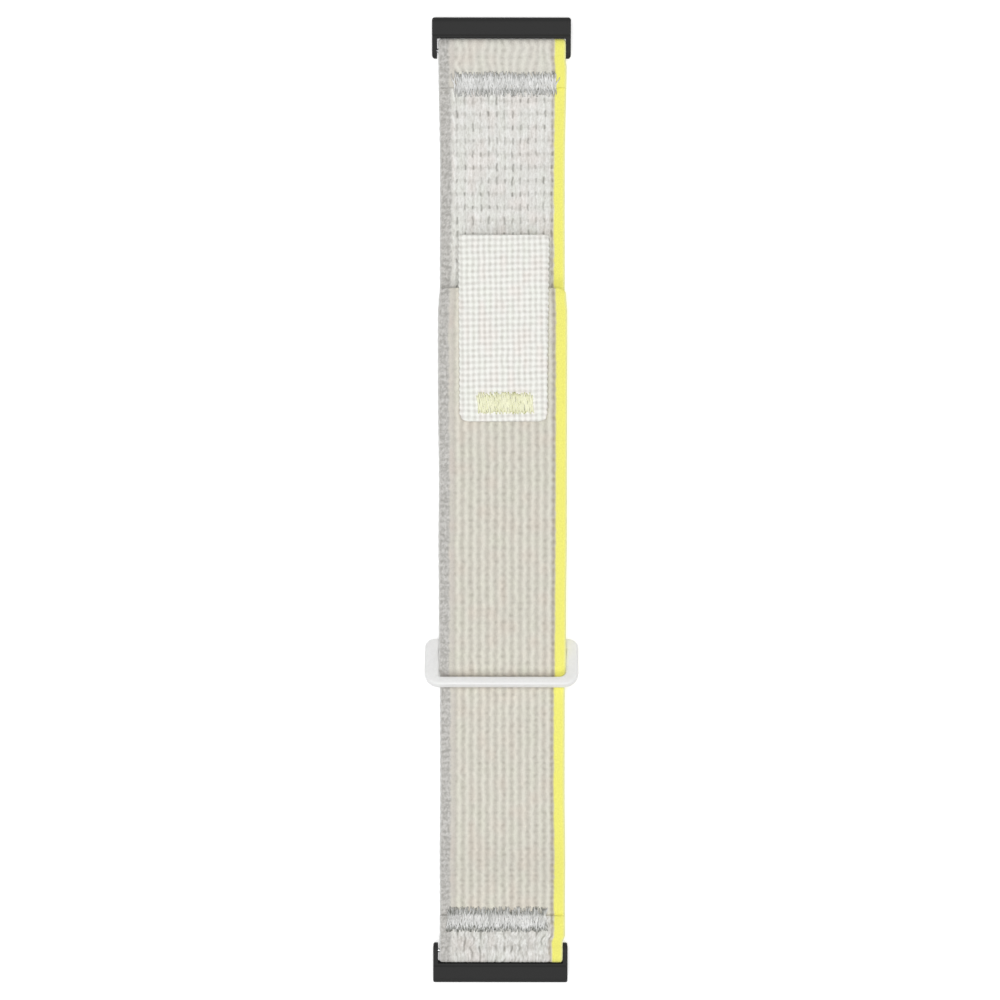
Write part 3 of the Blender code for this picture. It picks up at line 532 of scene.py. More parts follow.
def pile_face(xi, s, rows, sway):
    """Height and colour of the loop-pile face: short brushed loops in rows and columns.

    Its columns sway and its rows fade where it is brushed flat.
    """
    breaks = 1 - 4.4 * sway
    v = (xi - GROOVE_FIRST) / GROOVE_PITCH
    v = v + 0.10 * field("column drift", s, xi) + 0.06 * field("column waver", s, xi)
    v = v + sway * field("column sway", s, xi)
    row_line = rows + 0.05 * field("row bow", s * 0, xi)
    column, row = np.floor(v), np.floor(row_line)
    along = row_line - row
    body, bright = pile_loops(column, v - column, row, along, breaks)
    dark = pile_gaps(s, v, column, row_line, breaks)
    hairs = field("long hairs", s + xi * 5, xi) * 0.7 + field("short hairs", s - xi * 4, xi) * 0.7
    share = 0.38 - 0.6 * sway + (0.40 - 1.2 * sway) * bright + (0.36 + 1.2 * sway) * hairs
    share = share - 0.08 * breaks * bump(np.minimum(along, 1 - along), 0, 0.12)
    stitch = bump(xi, PILE_STITCHES + 0.035 * (along - 0.5), 0.012)
    stitch = stitch * smooth(0.25, 0.6, cell(42, row, 1) + 0.4 * hairs)
    share = share + 0.7 * stitch * breaks
    border = bump(xi, PILE_BORDER + 0.012 * wave(rows), 0.03) * (0.5 + 0.8 * hairs)
    color = mix(PILE_MID, PILE_BRIGHT, np.clip(share, 0, 1))
    # painted shade in the pile's gaps
    color = mix(color, PILE_GAP_SHADE, dark * 0.9)
    color = mix(color, CREAM, np.clip(border, 0, 1) * 0.5)
    height = PILE_FLOOR + PILE_LOOP_HEIGHT * body - PILE_GAP_DEPTH * dark + HAIR_HEIGHT * hairs
    height = height * smooth(-0.82, -0.77, xi)
    return stripes(xi, s, rows, PILE_GREY_EDGE, 0.55, height, tint(color, s, xi))


def woven_surface(xi, s, rows, sways, on_ribs):
    """Height and colour all round the webbing, whose two faces meet halfway up its edges."""
    rib_height, rib_color = ribbed_face(xi, s, rows, sways[0])
    pile_height, pile_color = pile_face(xi, s, rows, sways[1])
    height = rib_height * on_ribs + pile_height * (1 - on_ribs)
    color = mix(pile_color, 0, on_ribs) + rib_color * on_ribs[..., None]
    return height, color


def easing(start, start_way, end, end_way, count=24):
    """Points of a smooth curve from one place and direction to another, without its first."""
    reach = np.linalg.norm(end - start) / 3
    near, far = start + start_way * reach, end - end_way * reach
    t = np.linspace(0, 1, count + 1)[1:, None]
    return (1 - t) ** 3 * start + 3 * (1 - t) ** 2 * t * near + 3 * (1 - t) * t * t * far + t**3 * end


def loop_round(bar, bar_radius, outward, fullness):
    """The webbing's middle line round a bar, from the flap's side to the strap's."""
    radius = bar_radius + LOOP_CLEARANCE + WEB_THICKNESS / 2
    angles = math.pi / 2 + LOOP_LEAN - (math.pi + 2 * LOOP_LEAN) * np.linspace(0, 1, 60)
    across, up = np.cos(angles), np.sin(angles)
    if fullness > 1:
        beyond = across > 0
        across = np.where(beyond, fullness * np.abs(across) ** LOOP_POWERS[0], across)
        up = np.where(beyond, np.sign(up) * np.abs(up) ** LOOP_POWERS[1], up)
    return bar + radius * np.stack((outward * across, up), axis=1)


def fold_path(bar_y, bar_z, bar_radius, outward, fullness=1.0):
    """The webbing's middle line: in along its flap, round a bar, and out along the strap."""
    loop = loop_round(np.array((bar_y, bar_z)), bar_radius, outward, fullness)
    out = np.array((float(outward), 0.0))
    rising = np.array((outward * math.cos(LOOP_LEAN), math.sin(LOOP_LEAN)))
    closing = np.array((-outward * math.cos(LOOP_LEAN), math.sin(LOOP_LEAN)))
    flap_end = np.array((bar_y - outward * FLAP_END, FLAP_LEVEL - FLAP_DROP))
    seam_start = np.array((bar_y - outward * (NECK + FLAP_FLAT), FLAP_LEVEL))
    flap_neck = np.array((bar_y - outward * NECK, FLAP_LEVEL))
    main_neck = np.array((bar_y - outward * NECK, MAIN_LEVEL))
    pressed = easing(flap_end, out, seam_start, out, 12)
    onto = easing(flap_neck, out, loop[0], rising)
    off = easing(loop[-1], closing, main_neck, -out)
    return np.concatenate(([flap_end], pressed, [flap_neck], onto, loop[1:], off))


def resampled(path, step):
    """The path at an even step, with the length along it."""
    lengths = np.concatenate(([0], np.cumsum(np.linalg.norm(np.diff(path, axis=0), axis=1))))
    count = int(round(lengths[-1] / step)) + 1
    s = np.linspace(0, lengths[-1], count)
    points = np.stack([np.interp(s, lengths, path[:, k]) for k in range(2)], axis=1)
    return points, s


def new_mesh(name, vertices, quads, colors=None, weave=None):
    """A smooth mesh piece from arrays in millimetres, with its painted and weave attributes."""
    mesh = bpy.data.meshes.new(name)
    vertices = np.asarray(vertices, np.float32).reshape(-1, 3)
    quads = np.asarray(quads, np.int32).reshape(-1, 4)
    mesh.vertices.add(len(vertices))
    mesh.vertices.foreach_set("co", (vertices * MM).ravel())
    mesh.loops.add(quads.size)
    mesh.loops.foreach_set("vertex_index", quads.ravel())
    mesh.polygons.add(len(quads))
    mesh.polygons.foreach_set("loop_start", np.arange(0, quads.size, 4, dtype=np.int32))
    mesh.update(calc_edges=True)
    if colors is not None:
        paint = mesh.color_attributes.new("paint", "FLOAT_COLOR", "POINT")
        values = np.ones((len(vertices), 4), np.float32)
        values[:, : colors.shape[-1]] = colors.reshape(-1, colors.shape[-1])
        paint.data.foreach_set("color", values.ravel())
    if weave is not None:
        attribute = mesh.attributes.new("weave", "FLOAT_VECTOR", "POINT")
        attribute.data.foreach_set("vector", np.asarray(weave, np.float32).ravel())
    mesh.validate()
    mesh.shade_smooth()
    obj = bpy.data.objects.new(name, mesh)
    bpy.context.scene.collection.objects.link(obj)
    return obj


def strip_quads(stations, around):
    """Faces of a closed strip whose stations each have this many points round them, ends included."""
    ring = np.arange(around)
    after = np.roll(ring, -1)
    start = np.arange(stations - 1)[:, None] * around
    sides = np.stack((start + ring, start + after, start + around + after, start + around + ring), axis=-1)
    near = np.arange(around // 2 - 1)
    cap = np.stack((near, around - 1 - near, around - 2 - near, near + 1), axis=-1)
    last = (stations - 1) * around
    return np.concatenate((sides.reshape(-1, 4), cap, last + cap[:, ::-1]))


def strip_section(half_width, radius, face_points, edge_points):
    """Places across and above a round-edged strip's middle at each station, and which way is out."""
    flat = np.linspace(-1, 1, face_points)
    turn = np.radians(np.linspace(90, -90, edge_points + 2)[1:-1])
    side, up = np.cos(turn), np.sin(turn)
    r = radius[:, None]
    reach = half_width[:, None] - r
    x = np.concatenate((reach * flat, reach + r * side, -reach * flat, -reach - r * side), axis=1)
    w = np.concatenate((r + 0 * flat, r * up, -r + 0 * flat, -r * up), axis=1)
    out_x = np.concatenate((0 * flat, side, 0 * flat, -side))
    out_w = np.concatenate((1 + 0 * flat, up, -1 + 0 * flat, -up))
    return x, w, out_x, out_w


def end_rounding(distance, reach, least=0.35):
    """How much of its thickness a strip has this far from a cut end."""
    inside = np.clip(distance / reach, 0, 1)
    return least + (1 - least) * np.sqrt(1 - (1 - inside) ** 2)


def corner_cut(distance, radius):
    """How much narrower each half of a strip is this far from an end with rounded corners."""
    inside = np.clip(radius - distance, 0, radius)
    return radius - np.sqrt(radius**2 - inside**2)


def within(ends, y):
    """1 in a stretch, whose first and last ends are each a smooth step between two places."""
    return smooth(*ends[0], y) * (1 - smooth(*ends[1], y))


def contact_weight(y, xi, most):
    """How much the cloth is shaded by what lies close over it: most where the ring may pass."""
    at_fold = smooth(PIN_Y + FOLD_CONTACT[0], PIN_Y + FOLD_CONTACT[1], np.abs(y))
    at_edge = np.maximum(smooth(YELLOW_EDGE - 0.02, YELLOW_EDGE + 0.04, xi), smooth(0.93, 0.97, -xi))
    weight = CONTACT_BASE * (1 - within(OPEN_PILE, y)) + most * within(RING_PASSES, y)
    return weight * (1 - at_fold) * (1 - 0.75 * at_edge)


def left_normals(points):
    """Unit vectors to the left of a path at each of its points."""
    along = np.gradient(points, axis=0)
    along /= np.linalg.norm(along, axis=1)[:, None]
    return np.stack((-along[:, 1], along[:, 0]), axis=1)


def count_rows(points, pitch, row_y):
    """The weave's rows along the webbing, counted from where its flat part passes a row's line."""
    rows = np.cumsum(STRIDE / ramped(points[:, 0], *pitch))
    off_line = np.abs(points[:, 0] - row_y) + 10 * np.abs(points[:, 1] - MAIN_LEVEL)
    return rows - rows[np.argmin(off_line)]


def webbing(name, path, pitch, row_y, sways, shape, contact=0.0, corner=0.0):
    """A length of double-faced webbing with flat cut ends: ribs left of its path, loop pile right of it."""
    points, s = resampled(path, STRIDE)
    y = points[:, 0]
    half, middle = shape(y)
    taper = end_rounding(s, SEWN_TAPER) * end_rounding(s[-1] - s, CUT_TAPER, CUT_SHARE)
    edge = half - corner_cut(s[-1] - s, corner)
    x, w, out_x, out_w = strip_section(edge, WEB_CORE / 2 * taper, FACE_POINTS, EDGE_POINTS)
    xi = x / half[:, None]
    along_s = s[:, None] + 0 * xi
    rows = count_rows(points, pitch, row_y)[:, None] + 0 * xi
    on_ribs = smooth(-BLEND_HEIGHT, BLEND_HEIGHT, w)
    height, color = woven_surface(xi, along_s, rows, sways, on_ribs)
    weight = contact_weight(y[:, None], xi, contact * on_ribs)
    at_fold = smooth(PIN_Y + 0.4, PIN_Y + 1.2, np.abs(y))
    height = height * (taper * (1 - 0.7 * at_fold))[:, None]
    scallop = 0.5 + 0.5 * np.cos(2 * np.pi * rows / SCALLOP_ROWS + np.pi)
    x = x + height * out_x - SCALLOP_DEPTH * scallop * smooth(*SCALLOPS, xi) + middle[:, None]
    w = w + height * out_w
    normal = left_normals(points)
    vertices = np.stack((x, y[:, None] + w * normal[:, :1], points[:, 1:] + w * normal[:, 1:]), axis=-1)
    weave = np.stack((xi * 10, along_s, on_ribs), axis=-1)
    paint = np.concatenate((color, weight[..., None]), axis=2)
    strap = new_mesh(name, vertices, strip_quads(len(s), x.shape[1]), paint, weave)
    for face in strap.data.polygons[2 - x.shape[1] :]:
        face.use_smooth = False
    return strap


def tubes(paths, radius, sides):
    """Vertices and faces of round threads along paths that all have the same number of points."""
    count, steps = paths.shape[:2]
    along = np.gradient(paths, axis=1)
    along /= np.linalg.norm(along, axis=2)[..., None]
    side = np.cross(along, (1.0, 0.0, 0.0))
    side /= np.linalg.norm(side, axis=2)[..., None]
    other = np.cross(side, along)
    angles = np.linspace(0, 2 * np.pi, sides, endpoint=False)
    radius = np.broadcast_to(radius, (count, steps))[..., None, None]
    ring = side[:, :, None] * np.cos(angles)[:, None] + other[:, :, None] * np.sin(angles)[:, None]
    vertices = paths[:, :, None] + radius * ring
    offsets = np.arange(count)[:, None, None] * steps * sides
    return vertices.reshape(-1, 3), (strip_quads(steps, sides)[None] + offsets).reshape(-1, 4)


def upper_shape(y):
    """The upper strap's half width and middle: narrower below the tab and between the adapter's arms."""
    return ramped(y, *UPPER_HALF_WIDTH), ramped(y, *UPPER_MIDDLE)


def lower_shape(y):
    """The lower strap's half width and middle: eased at its end and where the ring may slide."""
    eased = bump(y, *LET_OUT)
    half = ramped(y, *LOWER_HALF_WIDTH) - LET_OUT_NARROWING * eased
    return half, ramped(y, *LOWER_MIDDLE) + LET_OUT_SHIFT * eased


def node_material(name):
    """A new material with its node tree and its shader."""
    material = bpy.data.materials.new(name)
    material.use_nodes = True
    tree = material.node_tree
    return material, tree, tree.nodes["Principled BSDF"]


def fill(tree, node, inputs):
    """Sets a node's inputs to values, or links them to other nodes' outputs."""
    for name, value in inputs.items():
        if isinstance(value, bpy.types.NodeSocket):
            tree.links.new(value, node.inputs[name])
        else:
            node.inputs[name].default_value = value


def add_node(tree, kind, inputs, **settings):
    """A new shader node with these settings and inputs."""
    node = tree.nodes.new("ShaderNode" + kind)
    for name, value in settings.items():
        setattr(node, name, value)
    fill(tree, node, inputs)
    return node


def attribute_node(tree, name):
    return add_node(tree, "Attribute", {}, attribute_name=name)


def math_node(tree, operation, *values):
    return add_node(tree, "Math", dict(enumerate(values)), operation=operation).outputs[0]


def noise_node(tree, vector, scale, detail):
    inputs = {"Vector": vector, "Scale": scale, "Detail": detail}
    return add_node(tree, "TexNoise", inputs).outputs["Fac"]


def map_range(tree, value, limits):
    return add_node(tree, "MapRange", {"Value": value, **limits}).outputs["Result"]


def mix_node(tree, first, second, factor, **settings):
    inputs = {"A": first, "B": second, "Factor": factor}
    return add_node(tree, "Mix", inputs, data_type="RGBA", **settings).outputs["Result"]


def bump_node(tree, height, strength, depth):
    inputs = {"Height": height, "Strength": strength, "Distance": depth * MM}
    return add_node(tree, "Bump", inputs).outputs["Normal"]


def grain_range(tree, source, amount):
    """Stretches a noise to a factor that varies by the amount either side of 1."""
    limits = {"From Min": 0.25, "From Max": 0.75, "To Min": 1 - amount, "To Max": 1 + amount}
    return map_range(tree, source, limits)


def textile_material(name, fibre, roughness, sheen, relief, grain, fleck):
    """Painted yarn with fibres along it and flecks all over, in the coordinates of the weave."""
    material, tree, shader = node_material(name)
    weave = attribute_node(tree, "weave").outputs["Vector"]
    stretch = add_node(tree, "Mapping", {"Vector": weave, "Scale": fibre})
    strands = noise_node(tree, stretch.outputs["Vector"], 1.0, 3.0)
    specks = noise_node(tree, weave, FLECK_SCALE, 1.0)
    shade = math_node(tree, "MULTIPLY", grain_range(tree, strands, grain), grain_range(tree, specks, fleck))
    paint = attribute_node(tree, "paint").outputs["Color"]
    shaded = add_node(tree, "VectorMath", {"Vector": paint, "Scale": shade}, operation="SCALE")
    inputs = {
        "Base Color": shaded.outputs["Vector"],
        "Normal": bump_node(tree, strands, relief, FIBRE_RELIEF),
        "Roughness": roughness,
        "Specular IOR Level": 0.25,
        "Sheen Weight": sheen,
        "Sheen Roughness": 0.5,
    }
    fill(tree, shader, inputs)
    return material


def contact_shade(material):
    """Paints shade into the cloth's colour, by ambient occlusion, in the narrow gap where another piece lies
    close over it.
    """
    tree = material.node_tree
    shader = tree.nodes["Principled BSDF"]
    base = shader.inputs["Base Color"].links[0].from_socket
    gap = add_node(tree, "AmbientOcclusion", {"Distance": CONTACT_REACH * MM}, samples=8)
    closeness = map_range(tree, gap.outputs["AO"], {"From Min": 0.9, "From Max": 0.4})
    weight = attribute_node(tree, "paint").outputs["Alpha"]
    amount = math_node(tree, "MULTIPLY", closeness, weight)
    tone = mix_node(tree, WHITE, (*CONTACT_SHADE_TONE, 1), amount)
    fill(tree, shader, {"Base Color": mix_node(tree, base, tone, 1.0, blend_type="MULTIPLY")})


def plastic_material(name, color, roughness, scale, grain, more):
    """Moulded plastic, a coating or metal with a fine grain in its surface."""
    material, tree, shader = node_material(name)
    place = add_node(tree, "TexCoord", {})
    fine = noise_node(tree, place.outputs["Object"], scale, 4.0)
    dull, clear = (*(color * 0.94), 1), (*np.minimum(color * 1.05, 1), 1)
    inputs = {
        "Base Color": mix_node(tree, dull, clear, fine),
        "Roughness": map_range(tree, fine, {"To Min": roughness - 0.06, "To Max": roughness + 0.06}),
        "Normal": bump_node(tree, fine, grain, GRAIN_RELIEF),
        **more,
    }
    fill(tree, shader, inputs)
    return material


def wear(obj, material):
    """Gives the object this material alone."""
    obj.data.materials.clear()
    obj.data.materials.append(material)
    return obj


def attach(body, slot, node, *pieces):
    """Lets pieces ride on a body, and hides the node of the frame that they stand for."""
    for piece in pieces:
        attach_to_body(piece, body)
    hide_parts(node)


webbing_cloth = textile_material("webbing_yarn", (7.0, 2.5, 1.0), 0.9, 0.1, 0.35, 0.055, 0.06)
contact_shade(webbing_cloth)
satin_thread = textile_material("satin_thread", (9.0, 2.0, 1.0), 0.5, 0.05, 0.4, 0.04, 0.04)
tab_cloth = textile_material("tab_yarn", (7.0, 7.0, 1.0), 0.85, 0.1, 0.35, 0.03, 0.035)
hook_plastic = plastic_material("hook_nylon", HOOK_WHITE, 0.45, 3000, 0.2, {})
ring_plastic = plastic_material("ring_plastic", RING_WHITE, 0.42, 2500, 0.12, RING_DEPTH)
coating = plastic_material("matte_black_coating", COATING_BLACK, 0.6, 6000, 0.25, DULL)
steel = plastic_material("turned_steel", STEEL_GREY, 0.3, 9000, 0.25, {"Metallic": 1.0})


def build_upper_strap():
    """From its fold round the upper pin down to its fold round the ring's hidden bar."""
    top = fold_path(PIN_Y, PIN_Z, PIN_RADIUS, 1, LOOP_FULLNESS)
    bottom = fold_path(RING_Y, RING_Z, BAR_RADIUS, -1)
    path = np.concatenate((top, bottom[::-1]))
    strap = webbing("webbing_upper", path, UPPER_PITCH, UPPER_ROW_Y, UPPER_SWAYS, upper_shape)
    attach("upper_strap", "webbing", "strap_upper", wear(strap, webbing_cloth))


def patch_droop(y):
    """How far the free end and its hook patch bend down to the pile."""
    return PATCH_DROOP * smooth(FREE_END_Y - PATCH_DROOP_LENGTH, FREE_END_Y, y)


def raised_path():
    """The lower strap's middle line over the upper one, pressed down by the ring and drooping at its end."""
    y = np.linspace(SLOPE_END, FREE_END_Y, 400)[1:]
    dip = BAR_DIP * bump(y, FRONT_BAR_Y, BAR_DIP_REACH) + patch_droop(y)
    before, past = END_DROOP_REACH
    dip = dip + END_DROOP * smooth(FREE_END_Y - before, FREE_END_Y + past, y)
    return np.stack((y, RAISED_LEVEL - dip), axis=1)


def build_lower_strap():
    """From its fold round the lower pin, up over the ring's hidden bar and on to its free end."""
    fold = fold_path(-PIN_Y, PIN_Z, PIN_RADIUS, -1, LOOP_FULLNESS)
    along = np.array((1.0, 0.0))
    low = np.array((SLOPE_START, MAIN_LEVEL))
    high = np.array((SLOPE_END, RAISED_LEVEL))
    path = np.concatenate((fold, [low], easing(low, along, high, along, 40), raised_path()))
    weave = (LOWER_PITCH, LOWER_ROW_Y, LOWER_SWAYS)
    strap = webbing("webbing_lower", path, *weave, lower_shape, RING_CONTACT, END_CORNER)
    wear(strap, webbing_cloth)
    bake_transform(strap)
    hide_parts("strap_lower", "strap_free_end")


def thread_path(rng, layer, slant, start, bar_y, outward):
    """One stitch over a flap's end: its two ends dive into the cloth and its middle arches over it."""
    t = np.linspace(0, 1, SEAM_STEPS)
    first = SEAM_FIRST + SEAM_RAGGED[0] * rng.uniform() ** 1.2
    last = SEAM_LAST - SEAM_RAGGED[1] * rng.uniform() ** 1.1
    reach = first + (last - first) * t
    z = FLAP_TOP + SEAM_LIFT + SEAM_LAYER * layer + (MAIN_TOP - FLAP_TOP) * smooth(*SEAM_STEP, reach)
    z = z + SEAM_ARCH * np.sin(np.pi * t) ** 0.5 - SEAM_DIVE * dives(t, DIVE_SHARE)
    lean = slant + rng.normal(0, 0.16)
    phase = rng.uniform(0, 6.3, 3)
    waves = [np.sin(count * t + shift) for count, shift in zip(SEAM_WAVES, phase)]
    wander = SEAM_WANDER[0] * waves[0] + SEAM_WANDER[1] * waves[1]
    z = z + SEAM_RIPPLE * waves[2]
    x = start + rng.normal(0, 0.06) + lean * (t - 0.5) + wander
    return np.stack((x, bar_y - outward * reach, z + rng.normal(0, 0.02)), axis=1)


def seam_strands(rng, bar_y, outward, x_ends, loose_count):
    """Satin stitches that hold a flap down and run off its end, in layers that slant opposite ways."""
    threads = []
    for layer, slant in enumerate(SEAM_SLANTS):
        threads += [(layer, slant, x) for x in np.arange(*x_ends, SEAM_SPACING)]
    for _ in range(loose_count):
        slant = rng.uniform(-LOOSE_SLANT, LOOSE_SLANT)
        threads.append((len(SEAM_SLANTS), slant, x_ends[0] - rng.uniform(0.0, LOOSE_REACH)))
    return np.array([thread_path(rng, *thread, bar_y, outward) for thread in threads])


def seam_shade(rng, paths, bar_y, inner, outer):
    """How dark each thread is along its length: bright on the flap, with painted shade where it dives and
    past the flap's end, and random patches of painted glint along it.
    """
    reach = np.abs(bar_y - paths[..., 1])
    past = smooth(5.6, 6.1, reach)
    inside = 1 - smooth(0.15, 0.75, reach - reach[:, :1] - 0.25 * rng.uniform(size=(len(paths), 1)))
    own, end = rng.uniform(size=(2, len(paths), 1))
    patches = noise(85, reach / 0.45, np.arange(len(paths))[:, None] * 3.7)
    return 0.55 * own + 0.22 * patches + past * outer * (0.3 + 1.4 * end) + inner * inside * (0.4 + 0.6 * end)


def thread_piece(name, paths, radius, tones, shade):
    """One mesh of many threads, each coloured along its length by an array of shades."""
    steps = paths.shape[1]
    swell = THREAD_WAIST + (1 - THREAD_WAIST) * np.sin(np.pi * np.linspace(0, 1, steps))
    vertices, quads = tubes(paths, radius * swell, THREAD_SIDES)
    colors = np.repeat(mix(*tones, shade)[:, :, None], THREAD_SIDES, axis=2)
    weave = np.zeros((len(paths), steps, THREAD_SIDES, 3))
    weave[..., 0] = np.arange(THREAD_SIDES) * 0.12 + np.arange(len(paths))[:, None, None] * 0.7
    weave[..., 1] = np.linspace(0, 3, steps)[None, :, None] + weave[..., 0] * 0.5
    return wear(new_mesh(name, vertices, quads, colors, weave), satin_thread)


def sew(names, paths, under_level, radii, tones, shades):
    """Threads on a seam's face, and the same threads on its other side, at their own level."""
    back = paths.copy()
    back[..., 2] = under_level
    sides = zip(names, (paths, back), radii, shades)
    return [thread_piece(name, side, radius, tones, shade) for name, side, radius, shade in sides]


def build_seam(name, body, node, bar_y, outward, x_ends, loose_count, fringes, seed):
    """A satin-stitched seam and the threads of it that show on the wrist side."""
    rng = np.random.default_rng(seed)
    paths = seam_strands(rng, bar_y, outward, x_ends, loose_count)
    shade = seam_shade(rng, paths, bar_y, *fringes)
    level = WRIST_FACE - WRIST_SINK + WRIST_LIFT * np.abs(np.linspace(-1, 1, SEAM_STEPS)) ** 3
    names, shades = (name, name + "_wrist_side"), (shade, 0.5 * shade)
    attach(body, "seam_thread", node, *sew(names, paths, level, SEAM_THREADS, SEAM_TONES, shades))


def tab_half_width(y):
    """The tab's outline: a slight flare, rounded corners and a scallop for each row of its weave."""
    half = TAB_HALF_WIDTH + TAB_FLARE * smooth(*TAB_FLARE_PLACES, y)
    half = half - corner_cut(y - TAB_END_Y, TAB_CORNERS[0]) - corner_cut(TAB_TIP_Y - y, TAB_CORNERS[1])
    half = half + 0.03 * field("tab outline", y, y)
    return half + TAB_SCALLOP * wave((y - TAB_TIP_Y + TAB_FIRST_Y + TAB_PITCH_Y / 2) / TAB_PITCH_Y)


def tab_weave(x, y):
    """How deep the tab's plain weave is sunk at each place: a regular grid of dimples, a little frayed."""
    u = x - TAB_FIRST_X + TAB_SKEW[0] * (y - TAB_LEVEL_Y) + 0.07 * field("tab columns", x, y)
    v = y - TAB_SKEW[1] * x + 0.07 * field("tab rows", x, y) - TAB_TIP_Y + TAB_FIRST_Y
    u, v = u / TAB_PITCH_X, v / TAB_PITCH_Y
    fray = 0.08 * field("fine fray", x, y) + 0.07 * field("broad fray", x, y)
    columns = (0.22 + 0.05 * field("column depth", u, v)) * wave(u)
    rows = (0.19 + 0.05 * field("row depth", u, v)) * wave(v)
    return 0.30 + columns + rows + fray


def tab_droop(y):
    """How far the tab bends down with the free end, and its loose tip further."""
    past = np.clip(y - TAB_DROOP_START, 0, None) / (TAB_TIP_Y - TAB_DROOP_START)
    return patch_droop(y) + TAB_DROOP * past**TAB_DROOP_POWER


def build_tab():
    """Plain-woven tape, sewn to the free end and loose at its tip."""
    stations = int((TAB_TIP_Y - TAB_END_Y) / TAB_STEP) + 1
    y = np.linspace(TAB_END_Y, TAB_TIP_Y, stations)
    taper = end_rounding(y - TAB_END_Y, TAB_TAPER) * end_rounding(TAB_TIP_Y - y, TAB_TAPER)
    section = strip_section(tab_half_width(y), TAB_EDGE_RADIUS * taper, TAB_FACE_POINTS, TAB_EDGE_POINTS)
    x, w, out_x, out_w = section
    yy = y[:, None] + 0 * x
    sunk = tab_weave(x, yy)
    height = (TAB_FACE_HEIGHT - TAB_DIMPLE_DEPTH * sunk) * taper[:, None]
    # The white weave is painted darker where it is sunk: painted shade in its dimples.
    color = tint(mix(*TAB_TONES, np.clip(sunk, 0, 1)), yy, x / 7)
    x = x + height * out_x
    w = w + height * out_w
    middle = (TAB_LOW[2] + TAB_HIGH[2]) / 2
    vertices = np.stack((x + TAB_SHIFT, yy, middle + w - tab_droop(yy)), axis=-1)
    weave = np.stack((x, yy, w), axis=-1)
    quads = strip_quads(stations, x.shape[1])[:, ::-1]
    tab = wear(new_mesh("pull_tab_tape", vertices, quads, color, weave), tab_cloth)
    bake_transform(tab)
    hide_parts("pull_tab", "pull_tab_foot")


def tack_path(rng, layer, slant, start):
    """One stitch of the bar tack, along the strap and slanting a little."""
    t = np.linspace(0, 1, TACK_STEPS)
    low = TACK_ENDS[0] + TACK_RAGGED * rng.uniform() ** 1.5
    high = TACK_ENDS[1] - TACK_RAGGED * rng.uniform() ** 1.5
    x = start + rng.normal(0, 0.03) + (slant + rng.normal(0, 0.06)) * (0.5 - t)
    z = TAB_HIGH[2] + TACK_LAYER * layer + TACK_ARCH * np.sin(np.pi * t) ** 0.5
    z = z - TACK_DIVE * dives(t, TACK_DIVE_SHARE)
    return np.stack((x, low + (high - low) * t, z + rng.normal(0, 0.015)), axis=1)


def build_bartack():
    """Two layers of thread that sew the tab's foot on, and their other side under the free end."""
    rng = np.random.default_rng(61)
    threads = []
    for layer, (slant, spacing) in enumerate(TACK_LAYERS):
        threads += [(layer, slant, start) for start in np.arange(*TACK_X_ENDS, spacing)]
    paths = np.array([tack_path(rng, *thread) for thread in threads])
    # Each thread has a random shade of its own and is painted darker at its two ends, as shade where it dives
    # into the cloth.
    own = rng.uniform(size=(len(paths), 1))
    shade = own * (0.42 + 1.5 * dives(np.linspace(0, 1, TACK_STEPS), 0.08))
    names = ("bartack_thread", "bartack_thread_underside")
    pieces = sew(names, paths, FREE_END_LOW[2] - TACK_SINK, TACK_THREADS, TACK_TONES, (shade, shade))
    attach("free_end", "tack_thread", "tab_bartack", *pieces)


def rounded_outline(half_x, y_ends, radii, steps, straight):
    """An even loop of points round a rectangle, with its corners' radii from the low right one on."""
    corners = []
    for index, r in enumerate(radii):
        right, high = index in (0, 1), index in (1, 2)
        center_x = half_x - r if right else r - half_x
        center_y = y_ends[1] - r if high else y_ends[0] + r
        angles = np.radians(np.linspace(0, 90, steps) + 90 * (index - 1))
        corners.append(np.stack((center_x + r * np.cos(angles), center_y + r * np.sin(angles)), axis=1))
    t = np.linspace(0, 1, straight + 2)[1:-1, None]
    loop = []
    for corner, following in zip(corners, corners[1:] + corners[:1]):
        loop += [corner, corner[-1] + (following[0] - corner[-1]) * t]
    return np.concatenate(loop)


def squared(circle):
    """A circle's sines or cosines, drawn out towards a square's."""
    return np.sign(circle) * np.abs(circle) ** RING_SQUARENESS


def ring_outlines():
    """The ring's outside and its slot, in its own plane with its hidden bar at the origin."""
    y_ends = (-RING_SPACING - BAR_RADIUS, BAR_RADIUS)
    outer = rounded_outline(RING_HALF_WIDTH, y_ends, RING_CORNERS, 14, 22)
    y_ends = (-RING_SPACING + BAR_RADIUS, -BAR_RADIUS)
    inner = rounded_outline(SLOT_HALF_WIDTH, y_ends, SLOT_CORNERS, 14, 22)
    return outer + np.array((RING_SHIFT, 0.0)), inner + np.array((SLOT_SHIFT, 0.0))


def build_ring():
    """The moulded ring, with a rounded section all the way round."""
    outer, inner = ring_outlines()
    middle, arm = (outer + inner) / 2, (outer - inner) / 2
    angles = np.linspace(0, 2 * np.pi, RING_SIDES, endpoint=False)
    plane = middle[:, None] + arm[:, None] * squared(np.cos(angles))[:, None]
    height = np.broadcast_to(BAR_RADIUS * squared(np.sin(angles)), plane.shape[:2])
    local = np.concatenate((plane, height[..., None]), axis=-1)
    lean = np.array(Matrix.Rotation(-RING_TILT, 3, "X"))
    vertices = local @ lean.T + np.array((0, RING_Y, RING_Z))
    stations = len(plane)
    quads = strip_quads(stations, RING_SIDES)[: (stations - 1) * RING_SIDES]
    first = np.arange(RING_SIDES)
    last = (stations - 1) * RING_SIDES + first
    closing = np.stack((last, np.roll(last, -1), np.roll(first, -1), first), axis=-1)
    ring = wear(new_mesh("moulded_ring", vertices, np.concatenate((quads, closing))), ring_plastic)
    attach("ring_body", "ring_plastic", "ring", ring)


